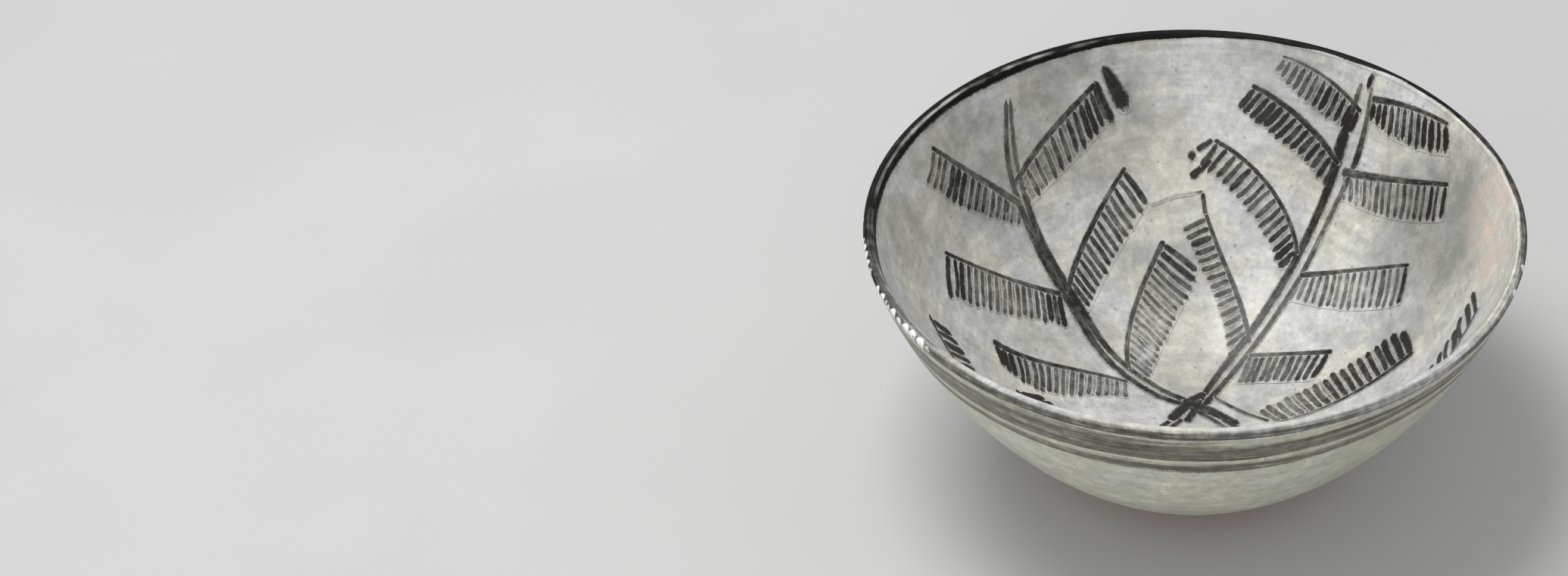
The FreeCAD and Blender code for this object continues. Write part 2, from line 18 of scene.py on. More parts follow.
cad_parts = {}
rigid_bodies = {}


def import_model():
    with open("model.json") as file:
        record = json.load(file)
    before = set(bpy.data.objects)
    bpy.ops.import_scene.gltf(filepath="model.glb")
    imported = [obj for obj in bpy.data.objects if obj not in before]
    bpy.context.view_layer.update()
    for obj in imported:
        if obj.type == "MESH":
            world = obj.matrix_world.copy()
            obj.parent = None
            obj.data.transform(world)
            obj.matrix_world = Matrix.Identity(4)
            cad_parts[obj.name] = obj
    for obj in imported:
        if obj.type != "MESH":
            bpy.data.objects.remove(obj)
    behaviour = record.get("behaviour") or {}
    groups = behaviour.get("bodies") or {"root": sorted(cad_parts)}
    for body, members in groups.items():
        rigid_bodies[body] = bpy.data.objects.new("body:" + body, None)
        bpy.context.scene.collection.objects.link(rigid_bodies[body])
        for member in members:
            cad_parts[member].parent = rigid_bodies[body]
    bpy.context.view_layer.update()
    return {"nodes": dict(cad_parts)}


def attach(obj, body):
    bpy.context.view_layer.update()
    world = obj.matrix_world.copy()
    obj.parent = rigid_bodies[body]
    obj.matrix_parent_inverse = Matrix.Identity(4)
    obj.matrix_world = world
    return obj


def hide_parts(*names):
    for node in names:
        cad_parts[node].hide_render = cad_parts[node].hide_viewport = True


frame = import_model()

MM = 0.001
LOG = logging.getLogger("painted_bowl")

Place = tuple[float, float]
Three = tuple[float, float, float]

# What the dark slip reads at each vertex: how much paint lies there, how near the line's edge is,
# the places along and across the line, and a number that makes each line's streaks its own.
PAINT_KEYS = ("ink", "edge", "along", "across", "seed")

# A Mix node's colour sockets share their names with its others, so they are told by number.
SHARE, UNDER, OVER = 0, 6, 7
TINT = {"out": 2, "data_type": "RGBA"}
SHADE = {**TINT, "blend_type": "MULTIPLY"}
SMOOTH = {"interpolation_type": "SMOOTHSTEP"}


class Side(Enum):
    """Which face of the wall a finish lies on."""

    INSIDE = "inside"
    OUTSIDE = "outside"


def linear(hex_colour: str) -> tuple[float, float, float, float]:
    """Turn an sRGB hex colour into the linear colour that the shaders take.

    Args:
        hex_colour: six hex digits after a hash.

    Returns:
        Linear red, green, blue and an alpha of one.
    """
    parts = [int(hex_colour[i:i + 2], 16) / 255 for i in (1, 3, 5)]
    return (*(p / 12.92 if p <= 0.04045 else ((p + 0.055) / 1.055) ** 2.4 for p in parts), 1.0)


def clamp(value: float) -> float:
    """Keep a value between 0 and 1."""
    return min(max(value, 0.0), 1.0)


def on_ring(turn: float, radius: float, height: float) -> Vector:
    """Point at an angle in radians, a radius and a height.

    Noise is read there too: it closes after a full turn, in shorter waves the wider the ring.

    Args:
        turn: the angle.
        radius: the radius.
        height: the height.

    Returns:
        The point, in the unit of the radius and the height.
    """
    return Vector((math.cos(turn) * radius, math.sin(turn) * radius, height))


def where(vertex: bpy.types.MeshVertex) -> Three:
    """Angle in radians, radius and height of a vertex, in millimetres."""
    return (math.atan2(vertex.co.y, vertex.co.x), math.hypot(vertex.co.x, vertex.co.y) / MM,
            vertex.co.z / MM)


def three_way(values: Three, part: float) -> float:
    """Blend a start, a middle and an end value.

    Args:
        values: the three values.
        part: how far along, from 0 to 1.

    Returns:
        The blended value.
    """
    part = clamp(part)
    if part < 0.5:
        return values[0] + (values[1] - values[0]) * part * 2
    return values[1] + (values[2] - values[1]) * (part * 2 - 1)


def round_table(table: list[Place], turn: float, spread: float = 22.0) -> float:
    """Read a table of (turn, value) pairs, blended softly round the bowl.

    Args:
        table: the pairs.
        turn: angle round the bowl, in degrees.
        spread: how many degrees away a pair still counts for much.

    Returns:
        The value at that angle.
    """
    total = weight = 0.0
    for at, value in table:
        away = abs((turn - at + 180) % 360 - 180)
        share = math.exp(-(away / spread) ** 2) + 1e-9
        total, weight = total + share * value, weight + share
    return total / weight


# The wall


@dataclass
class Wall:
    """The bowl's half section, from the sizes of the solid clay."""

    rim_radius: float = 99.5
    rim_height: float = 88.0
    wall_at_lip: float = 2.2
    rim_lean: float = 18.4
    base_radius: float = 31.8
    heel_round: float = 4.0
    floor_thickness: float = 6.0
    knee_angle: float = 45.0
    slip: float = 0.4
    swell: float = 0.10
    swell_height: float = 34.0
    finger: float = 0.035
    finger_pitch: float = 6.5
    outer_calm: float = 0.9
    lip_wave: float = 0.25
    lip_drop: float = 0.08
    lip_step: int = 18
    lip_share: float = 0.995

    def __post_init__(self) -> None:
        """Work out the arcs of the floor, the inner wall, the lip and the outer wall."""
        lip = self.wall_at_lip / 2
        lean, knee = math.radians(self.rim_lean), math.radians(self.knee_angle)
        end = math.pi / 2 - lean
        self.lip_radius, self.knee, self.lean = lip, knee, lean
        self.lip_centre = (self.rim_radius - lip, self.rim_height - lip)
        across = (math.cos(lean), -math.sin(lean))
        outside = tuple(m + lip * n for m, n in zip(self.lip_centre, across))
        inside = tuple(m - lip * n for m, n in zip(self.lip_centre, across))
        up = (outside[0] - self.base_radius, outside[1] - self.heel_round)
        along = up[0] * across[0] + up[1] * across[1]
        square = up[0] ** 2 + up[1] ** 2 - self.heel_round ** 2
        self.outer_radius = square / (2 * (along - self.heel_round))
        self.outer_centre = tuple(c - self.outer_radius * n for c, n in zip(outside, across))
        rise, reach = inside[1] - self.floor_thickness, inside[0]
        floor_reach, wall_reach = math.sin(knee), math.sin(end) - math.sin(knee)
        floor_rise, wall_rise = 1 - math.cos(knee), math.cos(knee) - math.cos(end)
        scale = floor_reach * wall_rise - wall_reach * floor_rise
        self.floor_radius = (reach * wall_rise - wall_reach * rise) / scale
        self.wall_radius = (floor_reach * rise - floor_rise * reach) / scale
        gap = self.floor_radius - self.wall_radius
        self.floor_top = self.floor_thickness + self.floor_radius
        self.wall_centre = (gap * math.sin(knee), self.floor_top - gap * math.cos(knee))
        self.floor_girth = self.floor_radius * knee
        self.girth = self.floor_girth + self.wall_radius * (end - knee)

    def slope(self, share: float) -> float:
        """Slope of the inner wall at a share of its girth.

        Args:
            share: share of the girth from the floor's middle (0) to the lip (1).

        Returns:
            The slope in radians.
        """
        girth = share * self.girth
        if girth < self.floor_girth:
            return girth / self.floor_radius
        return self.knee + (girth - self.floor_girth) / self.wall_radius

    def inner(self, share: float, lift: float) -> Place:
        """Point lifted off the inner wall.

        Args:
            share: share of the girth from the floor's middle (0) to the lip (1).
            lift: distance off the clay.

        Returns:
            The point's radius and height.
        """
        slope = self.slope(share)
        if share * self.girth < self.floor_girth:
            reach = self.floor_radius - lift
            return reach * math.sin(slope), self.floor_top - reach * math.cos(slope)
        reach = self.wall_radius - lift
        return (self.wall_centre[0] + reach * math.sin(slope),
                self.wall_centre[1] - reach * math.cos(slope))

    def share_at(self, radius: float) -> float:
        """Share of the girth where the slipped inner wall has a plan radius.

        Args:
            radius: plan radius.

        Returns:
            The share.
        """
        reach = (self.floor_radius - self.slip) * math.sin(self.knee)
        if radius < reach:
            slope = math.asin(max(radius, 0.0) / (self.floor_radius - self.slip))
            return slope * self.floor_radius / self.girth
        sine = (radius - self.wall_centre[0]) / (self.wall_radius - self.slip)
        slope = math.asin(min(sine, 1.0))
        return (self.floor_girth + (slope - self.knee) * self.wall_radius) / self.girth

    def lip_angles(self) -> list[int]:
        """Angles in even steps over the lip, from the inner wall to the outer one."""
        return list(range(int(180 - self.rim_lean), int(-self.rim_lean) - 1, -self.lip_step))

    def lip(self, angle: float, lift: float) -> Place:
        """Point over the round lip.

        Args:
            angle: angle about the lip's centre, from 180 less the lean (inside) to minus the lean.
            lift: distance off the clay.

        Returns:
            The point's radius and height.
        """
        turn, reach = math.radians(angle), self.lip_radius + lift
        return (self.lip_centre[0] + reach * math.cos(turn),
                self.lip_centre[1] + reach * math.sin(turn))

    def outer(self, height: float, lift: float) -> Place:
        """Point lifted off the outer wall.

        Args:
            height: height above the ground.
            lift: distance off the clay.

        Returns:
            The point's radius and height.
        """
        reach = self.outer_radius + lift
        turn = math.asin((height - self.outer_centre[1]) / reach)
        return self.outer_centre[0] + reach * math.cos(turn), height

    def uneven(self, turn: float, height: float) -> float:
        """How far the thrown surface strays: slow swells and the spiral of the fingers.

        Args:
            turn: angle round the bowl, in degrees.
            height: height, or girth inside.

        Returns:
            The stray off the true surface.
        """
        spot = on_ring(math.radians(turn), 2.1, height / self.swell_height)
        spiral = math.sin(math.tau * (height / self.finger_pitch + turn / 360))
        pressed = 0.7 + 0.6 * noise.noise(spot * 2.7)
        return self.swell * noise.noise(spot) + self.finger * spiral * pressed

    def on_wall(self, plan: Vector, lift: float) -> Vector:
        """Point over a plan point, lifted off the uneven inner slip.

        Args:
            plan: the plan point.
            lift: distance off the slip.

        Returns:
            The point, in metres.
        """
        turn = math.atan2(plan.y, plan.x)
        share = self.share_at(plan.length)
        # The surface is true at the floor's middle and just under the lip.
        fade = clamp(min(share / 0.06, (1 - share) / 0.03))
        strays = fade * self.uneven(math.degrees(turn), share * self.girth)
        radius, height = self.inner(share, self.slip + lift + strays)
        return on_ring(turn, radius, height) * MM

    def wave_lip(self, vertex: bpy.types.MeshVertex) -> None:
        """Let the thrown lip rise and fall a little at a vertex.

        Args:
            vertex: a vertex on the lip, moved in place.
        """
        spot = on_ring(where(vertex)[0], 1.6, 0.0)
        vertex.co.z += min(0.0, self.lip_wave * noise.noise(spot) - self.lip_drop) * MM


# Modelling steps


def pick(piece: bpy.types.Object) -> None:
    """Select one piece alone and make it the active one.

    Args:
        piece: the piece in object mode.
    """
    bpy.ops.object.select_all(action="DESELECT")
    piece.select_set(True)
    bpy.context.view_layer.objects.active = piece


def lathe(name: str, outline: list[Place], steps: int) -> bpy.types.Object:
    """Draw a closed half section and spin it round the upright axis.

    Args:
        name: the piece's name.
        outline: radius and height of each corner, none repeated.
        steps: how many steps the full turn has.

    Returns:
        The closed piece, in object mode.
    """
    bpy.ops.object.select_all(action="DESELECT")
    bpy.ops.mesh.primitive_plane_add(size=MM, location=(0, 0, 0))
    piece = bpy.context.object
    piece.name = piece.data.name = name
    bpy.ops.object.mode_set(mode="EDIT")
    bpy.ops.mesh.select_all(action="SELECT")
    bpy.ops.mesh.merge(type="CENTER")
    bpy.ops.transform.translate(value=(outline[0][0] * MM, 0.0, outline[0][1] * MM))
    for here, there in zip(outline, outline[1:] + outline[:1]):
        step = ((there[0] - here[0]) * MM, 0.0, (there[1] - here[1]) * MM)
        bpy.ops.mesh.extrude_vertices_move(TRANSFORM_OT_translate={"value": step})
    bpy.ops.mesh.select_all(action="SELECT")
    bpy.ops.mesh.spin(steps=steps, angle=math.tau, center=(0, 0, 0), axis=(0, 0, 1),
                      use_auto_merge=False)
    bpy.ops.mesh.select_all(action="SELECT")
    bpy.ops.mesh.remove_doubles(threshold=2e-6)
    bpy.ops.mesh.dissolve_degenerate(threshold=1e-6)
    bpy.ops.mesh.select_all(action="SELECT")
    bpy.ops.mesh.normals_make_consistent(inside=False)
    bpy.ops.object.mode_set(mode="OBJECT")
    return piece


def harden(piece: bpy.types.Object, kind: str, **settings: object) -> None:
    """Give a piece one modifier with its settings and apply it.

    Args:
        piece: the piece in object mode.
        kind: the modifier's type.
        **settings: the modifier's properties.
    """
    pick(piece)
    modifier = piece.modifiers.new(kind.title(), kind)
    for key, value in settings.items():
        setattr(modifier, key, value)
    bpy.ops.object.modifier_apply(modifier=modifier.name)


class PaintNotes:
    """The numbers per vertex that the dark slip reads."""

    def __init__(self) -> None:
        """Start with no vertex noted."""
        self.rows: list[tuple[float, ...]] = []

    def note(self, ink: float, edge: float, along: float, across: float, seed: float) -> None:
        """Note the numbers of the next vertex, in the order of PAINT_KEYS."""
        self.rows.append((ink, edge, along, across, seed))

    def write(self, piece: bpy.types.Object) -> None:
        """Store the numbers on a piece as attributes.

        Args:
            piece: the piece, whose vertices were all noted in order.
        """
        for key, values in zip(PAINT_KEYS, zip(*self.rows)):
            attribute = piece.data.attributes.new(key, "FLOAT", "POINT")
            attribute.data.foreach_set("value", values)


def dress(piece: bpy.types.Object, material: bpy.types.Material, node: str) -> None:
    """Smooth a finished piece, give it its finish and let it stand for its solid.

    Args:
        piece: the piece in object mode.
        material: its material.
        node: the solid that it replaces.
    """
    pick(piece)
    bpy.ops.object.shade_smooth_by_angle(angle=math.radians(50))
    piece.data.materials.clear()
    piece.data.materials.append(material)
    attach(piece, "root")
    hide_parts(node)
    LOG.info("%s: %d faces", piece.name, len(piece.data.polygons))


# Finishes


class Finish:
    """The node tree of one material."""

    def __init__(self, name: str) -> None:
        """Start an empty material whose coordinates are millimetres on the object.

        Args:
            name: the material's name.
        """
        self.material = bpy.data.materials.new(name)
        self.material.use_nodes = True
        self.tree = self.material.node_tree
        self.tree.nodes.clear()
        self.object_space = self.add("TexCoord", out="Object")
        self.here = self.add("Mapping", {"Vector": self.object_space, "Scale": (1000.0, 1000.0, 1000.0)})

    def add(self, kind: str, inputs: tuple | dict = (), out: int | str = 0,
            **settings: object) -> bpy.types.NodeSocket:
        """Add a node with its settings and links.

        Args:
            kind: the node's type, without the ShaderNode prefix.
            inputs: a constant or an output to link for the first sockets, or for named ones.
            out: which output to return.
            **settings: the node's own properties.

        Returns:
            The chosen output.
        """
        node = self.tree.nodes.new("ShaderNode" + kind)
        for key, value in settings.items():
            setattr(node, key, value)
        pairs = inputs.items() if isinstance(inputs, dict) else enumerate(inputs)
        for key, value in pairs:
            if isinstance(value, bpy.types.NodeSocket):
                self.tree.links.new(value, node.inputs[key])
            else:
                node.inputs[key].default_value = value
        return node.outputs[out] if len(node.outputs) else None

    def patches(self, spots: list[tuple[Three, float, float]]) -> bpy.types.NodeSocket:
        """Soft round patches on the object, joined into one mask.

        Args:
            spots: for each patch its middle, its radius and its strength.

        Returns:
            The mask.
        """
        mask = None
        for middle, radius, strength in spots:
            spot = self.add("Mapping", {
                "Vector": self.here, "Location": tuple(-m / radius for m in middle),
                "Scale": (1 / radius,) * 3})
            ball = self.add("TexGradient", (spot,), gradient_type="SPHERICAL")
            soft = self.add("MapRange", (ball, 0.0, 0.7, 0.0, strength), **SMOOTH)
            mask = soft if mask is None else self.add("Math", (mask, soft), operation="MAXIMUM")
        return mask

    def close(self, colour: bpy.types.NodeSocket, roughness: bpy.types.NodeSocket | float,
              height: bpy.types.NodeSocket, depth: float, coat: float,
              specular: float = 0.4) -> bpy.types.Material:
        """Put the shader on.

        Args:
            colour: base colour.
            roughness: roughness of the body.
            height: height pattern from 0 to 1.
            depth: what a height of 1 measures.
            coat: how much clear thin glaze lies on top.
            specular: specular level.

        Returns:
            The finished material.
        """
        normal = self.add("Bump", {"Strength": 1.0, "Distance": depth * MM, "Height": height})
        shader = self.add("BsdfPrincipled", {
            "Base Color": colour, "Roughness": roughness, "Normal": normal, "IOR": 1.5,
            "Specular IOR Level": specular, "Coat Weight": coat, "Coat Roughness": 0.25})
        self.add("OutputMaterial", (shader,))
        return self.material


@dataclass(frozen=True)
class Unevenness:
    """One way in which a colour is uneven: noise that darkens and lightens it."""

    stretch: Three
    scale: float
    detail: float
    roughness: float
    span: Place
    shades: Place
    strength: float = 0.8


# Streaks of the wiping hand on the wheel, mottling, the slip's grain, and fine scuffs up the wall.
SLIP_UNEVENNESS = (
    Unevenness((30.0, 30.0, 800.0), 0.6, 3.0, 0.6, (0.25, 0.75), (0.80, 1.13), 0.6),
    Unevenness((1000.0, 1000.0, 1000.0), 1 / 6, 6.0, 0.66, (0.28, 0.72), (0.84, 1.12)),
    Unevenness((1000.0, 1000.0, 1000.0), 1 / 1.6, 3.0, 0.7, (0.30, 0.70), (0.88, 1.10)),
    Unevenness((420.0, 420.0, 75.0), 1.0, 4.0, 0.65, (0.32, 0.68), (0.90, 1.07)))


@dataclass(frozen=True)
class PaleSlip:
    """Pale slip under a thin worn clear glaze, brushed on and smoothed on the wheel.

    To the eye it is chalky grey-white, clouded and stained grey where the glaze has gone, with
    fine ridges that run round the bowl. Inside, part of that grey is painted shade.
    """

    side: Side = Side.INSIDE
    cool: str = "#C3C4C4"
    warm: str = "#C6C6BC"
    stain: str = "#858580"
    blush: str = "#D2BDB0"
    crack: str = "#6E6C64"
    speck: str = "#66645C"

    def ground(self, mat: Finish) -> bpy.types.NodeSocket:
        """The slip's colour at every place.

        Args:
            mat: the material that it is drawn in.

        Returns:
            The colour.
        """
        here = mat.here
        cloud = mat.add("TexNoise", {"Vector": here, "Scale": 1 / 24, "Detail": 5.0, "Roughness": 0.6})
        cloud = mat.add("MapRange", (cloud, 0.40, 0.60), **SMOOTH)
        base = mat.add("Mix", {SHARE: cloud, UNDER: linear(self.cool), OVER: linear(self.warm)}, **TINT)
        for layer in SLIP_UNEVENNESS:
            spot = mat.add("Mapping", {"Vector": mat.object_space, "Scale": layer.stretch})
            shade = mat.add("TexNoise", {"Vector": spot, "Scale": layer.scale, "Detail": layer.detail,
                                         "Roughness": layer.roughness})
            shade = mat.add("MapRange", (shade, *layer.span, *layer.shades), **SMOOTH)
            base = mat.add("Mix", {SHARE: layer.strength, UNDER: base, OVER: shade}, **SHADE)
        # Grey stain has soaked in where the glaze is worn: broad patches at places, torn at 9 mm. Inside,
        # the patches are partly real stains and partly painted shade on the walls.
        torn = mat.add("TexNoise", {"Vector": here, "Scale": 1 / 9, "Detail": 5.0, "Roughness": 0.68,
                                    "Distortion": 0.2})
        places = mat.patches(INSIDE_STAINS_AND_SHADE if self.side is Side.INSIDE else OUTSIDE_STAINS)
        stain_and_shade = mat.add("Math", (mat.add("MapRange", (torn, 0.30, 0.66, -0.25, 0.45)), places),
                         operation="ADD", use_clamp=True)
        base = mat.add("Mix", {SHARE: stain_and_shade, UNDER: base, OVER: linear(self.stain)}, **TINT)
        # Faint hair cracks wander over the surface.
        vein = mat.add("TexNoise", {"Vector": here, "Scale": 1 / 16, "Detail": 5.0, "Roughness": 0.7,
                                    "Distortion": 1.5})
        vein = mat.add("Math", (vein, 0.5, 0.006), operation="COMPARE")
        vein = mat.add("Math", (vein, 0.10), operation="MULTIPLY")
        base = mat.add("Mix", {SHARE: vein, UNDER: base, OVER: linear(self.crack)}, **TINT)
        specks = mat.add("TexVoronoi", {"Vector": here, "Scale": 0.2})
        specks = mat.add("MapRange", (specks, 0.05, 0.15, 0.46, 0.0), **SMOOTH)
        base = mat.add("Mix", {SHARE: specks, UNDER: base, OVER: linear(self.speck)}, **TINT)
        if self.side is Side.INSIDE:
            # The clay's pink shows through the thin slip high on the right wall.
            thin = mat.add("Math", (mat.patches(BLUSHES), mat.add("MapRange", (torn, 0.35, 0.6))),
                           operation="MULTIPLY")
            base = mat.add("Mix", {SHARE: thin, UNDER: base, OVER: linear(self.blush)}, **TINT)
        return base

    def relief(self, mat: Finish) -> bpy.types.NodeSocket:
        """Wheel ridges and the grain of the dried slip.

        Args:
            mat: the material that they are drawn in.

        Returns:
            The height from 0 to 1.
        """
        band = mat.add("Mapping", {"Vector": mat.object_space, "Scale": (25.0, 25.0, 800.0)})
        ridge = mat.add("TexNoise", {"Vector": band, "Scale": 0.8, "Detail": 2.0})
        grain = mat.add("TexNoise", {"Vector": mat.here, "Scale": 0.9, "Detail": 4.0, "Roughness": 0.6})
        swell = mat.add("TexNoise", {"Vector": mat.here, "Scale": 0.14, "Detail": 3.0})
        both = mat.add("Mix", {"Factor": 0.5, "A": ridge, "B": grain})
        return mat.add("Math", (both, swell), operation="ADD")

    def build(self) -> bpy.types.Material:
        """Make the material.

        Returns:
            The pale slip.
        """
        mat = Finish("pale_slip_%s" % self.side.value)
        worn = mat.add("TexNoise", {"Vector": mat.here, "Scale": 1 / 12, "Detail": 4.0})
        worn = mat.add("MapRange", (worn, 0.35, 0.65, 0.32, 0.58), **SMOOTH)
        return mat.close(self.ground(mat), worn, self.relief(mat), 0.12, 0.2)


@dataclass(frozen=True)
class DarkSlip:
    """Dark slip paint: thin and streaky where the brush ran dry, nearly black where it pooled."""

    name: str = "dark_slip_brushwork"
    ground: PaleSlip = PaleSlip()
    thick: str = "#1F1E1C"
    thin: str = "#62625C"
    # Colour of the painted highlight: white glints of light on the lip.
    glint_white: str = "#E8E8E4"
    streak_length: float = 3.5
    streak_depth: float = 0.16
    wear: float = 0.22
    shine: float = 0.25
    painted_glints: bool = False

    def build(self) -> bpy.types.Material:
        """Make the material, which reads the numbers named in PAINT_KEYS from the mesh.

        Returns:
            The dark slip over the pale slip.
        """
        mat = Finish(self.name)
        ink, edge, along, across, seed = (
            mat.add("Attribute", out="Fac", attribute_name=key) for key in PAINT_KEYS)
        # The hairs of the brush leave streaks about 0.5 mm apart along each line.
        drawn = mat.add("Math", (along, 0.55 / self.streak_length), operation="MULTIPLY")
        lane = mat.add("CombineXYZ", (across, drawn, seed))
        streak = mat.add("TexNoise", {"Vector": lane, "Scale": 1.8, "Detail": 3.0, "Roughness": 0.6})
        streak = mat.add("MapRange", (streak, 0.25, 0.75, -self.streak_depth, self.streak_depth),
                         **SMOOTH)
        rub = mat.add("TexNoise", {"Vector": mat.here, "Scale": 1 / 3.5, "Detail": 5.0,
                                   "Roughness": 0.65})
        rub = mat.add("MapRange", (rub, 0.32, 0.70, -self.wear, self.wear * 0.7), **SMOOTH)
        fray = mat.add("TexNoise", {"Vector": mat.here, "Scale": 1.1, "Detail": 3.0, "Roughness": 0.6})
        fray = mat.add("MapRange", (fray, 0.2, 0.8, -0.16, 0.16))
        torn = mat.add("Math", (edge, fray), operation="ADD")
        inside = mat.add("MapRange", (torn, 0.40, 1.04, 1.0, 0.0), **SMOOTH)
        # Thin paint lies more evenly than thick, so its streaks are fainter.
        body = mat.add("MapRange", (ink, 0.1, 0.8, 0.35, 1.0))
        uneven = mat.add("Math", (mat.add("Math", (streak, rub), operation="ADD"), body),
                         operation="MULTIPLY")
        amount = mat.add("Math", (ink, uneven), operation="ADD")
        amount = mat.add("Math", (amount, inside), operation="MULTIPLY", use_clamp=True)
        depth = mat.add("MapRange", (amount, 0.35, 1.0), **SMOOTH)
        paint = mat.add("Mix", {SHARE: depth, UNDER: linear(self.thin), OVER: linear(self.thick)}, **TINT)
        cover = mat.add("MapRange", (amount, 0.0, 0.55), **SMOOTH)
        colour = mat.add("Mix", {SHARE: cover, UNDER: self.ground.ground(mat), OVER: paint}, **TINT)
        rough = mat.add("MapRange", (amount, 0.0, 1.0, 0.50, 0.60 - self.shine))
        if self.painted_glints:
            # Painted highlight: white glints of light on the glaze along the lip's crest, painted into the
            # colour, with low roughness there.
            glint = mat.add("TexNoise", {"Vector": mat.here, "Scale": 0.28, "Detail": 4.0,
                                         "Roughness": 0.6})
            glint = mat.add("Math", (glint, mat.patches(LIP_GLINTS)), operation="MULTIPLY")
            glint = mat.add("MapRange", (glint, 0.31, 0.50, 0.0, 0.9), **SMOOTH)
            colour = mat.add("Mix", {SHARE: glint, UNDER: colour, OVER: linear(self.glint_white)}, **TINT)
            rough = mat.add("Mix", {"Factor": glint, "A": rough, "B": 0.15})
        return mat.close(colour, rough, self.ground.relief(mat), 0.10, 0.0, self.shine)


@dataclass(frozen=True)
class BareClay:
    """Fired earthenware left bare at the foot: buff to pink, sandy, with the cutting wire's marks."""

    buff: str = "#BFA48B"
    pink: str = "#B48A73"
    grit: str = "#7A6353"

    def build(self) -> bpy.types.Material:
        """Make the material.

        Returns:
            The bare clay.
        """
        mat = Finish("bare_earthenware")
        cloud = mat.add("TexNoise", {"Vector": mat.here, "Scale": 1 / 14, "Detail": 4.0})
        cloud = mat.add("MapRange", (cloud, 0.35, 0.65), **SMOOTH)
        colour = mat.add("Mix", {SHARE: cloud, UNDER: linear(self.buff), OVER: linear(self.pink)}, **TINT)
        grit = mat.add("TexVoronoi", {"Vector": mat.here, "Scale": 0.55})
        grit = mat.add("MapRange", (grit, 0.06, 0.16, 0.5, 0.0), **SMOOTH)
        colour = mat.add("Mix", {SHARE: grit, UNDER: colour, OVER: linear(self.grit)}, **TINT)
        # A wire drawn under the turning pot leaves curved marks about 1.5 mm apart.
        spot = mat.add("Mapping", {"Vector": mat.here, "Location": (70.0, 0.0, 0.0)})
        wire = mat.add("TexWave", {"Vector": spot, "Scale": 0.11, "Distortion": 1.2, "Detail": 2.0},
                       wave_type="RINGS", rings_direction="Z")
        grain = mat.add("TexNoise", {"Vector": mat.here, "Scale": 1.0, "Detail": 4.0})
        height = mat.add("Math", (wire, grain), operation="ADD")
        return mat.close(colour, 0.85, height, 0.15, 0.0, 0.25)


OUTSIDE_SLIP = PaleSlip(Side.OUTSIDE, cool="#C2C3B8", warm="#C7C8B4", stain="#9C9D90")

# Middle, radius and strength of soft patches on the wall.
# Inside, these grey patches are partly real stains and partly painted shade on the walls.
INSIDE_STAINS_AND_SHADE = [((-68, 54, 64), 40, 0.50), ((-38, 80, 70), 40, 0.52), ((-90, 14, 66), 22, 0.30),
                 ((-8, 52, 28), 24, 0.34), ((78, 36, 59), 40, 0.76), ((66, 12, 38), 22, 0.42),
                 ((-40, 20, 18), 26, 0.22), ((40, 76, 66), 24, 0.34), ((10, -70, 50), 50, 0.25),
                 ((4, 14, 8), 34, 0.30), ((30, 90, 76), 26, 0.36)]
OUTSIDE_STAINS = [((60, -66, 60), 40, 0.25), ((-80, 40, 50), 45, 0.25)]
BLUSHES = [((95.5, 19, 76), 20, 0.95), ((96, 3, 73), 17, 0.70)]

# Radius and height of the lip's outer crest, and the angle, radius and strength of the painted glints on
# it: white spots painted as highlights on the glaze.
LIP_CREST = (100.4, 86.8)
GLINT_SPOTS = [(-178, 2.4, 0.9), (-172, 2.6, 0.8), (-170, 3.2, 1.0), (-168, 3.4, 1.05), (-165.8, 3.2, 0.95),
         (-163.5, 3.0, 0.9), (-161, 2.8, 0.8), (-158.5, 3.0, 0.9), (-156, 3.3, 1.0),
         (-153.8, 3.4, 1.05), (-151.5, 3.3, 1.0), (-149, 3.2, 0.95), (-146.8, 3.4, 1.1),
         (-144.5, 3.6, 1.2), (-142.2, 3.6, 1.2), (-140, 3.0, 0.9), (-12, 3.2, 1.0), (-19, 3.4, 0.9)]
LIP_GLINTS = [(tuple(on_ring(math.radians(turn), *LIP_CREST)), radius, strength)
             for turn, radius, strength in GLINT_SPOTS]


# Slip coats


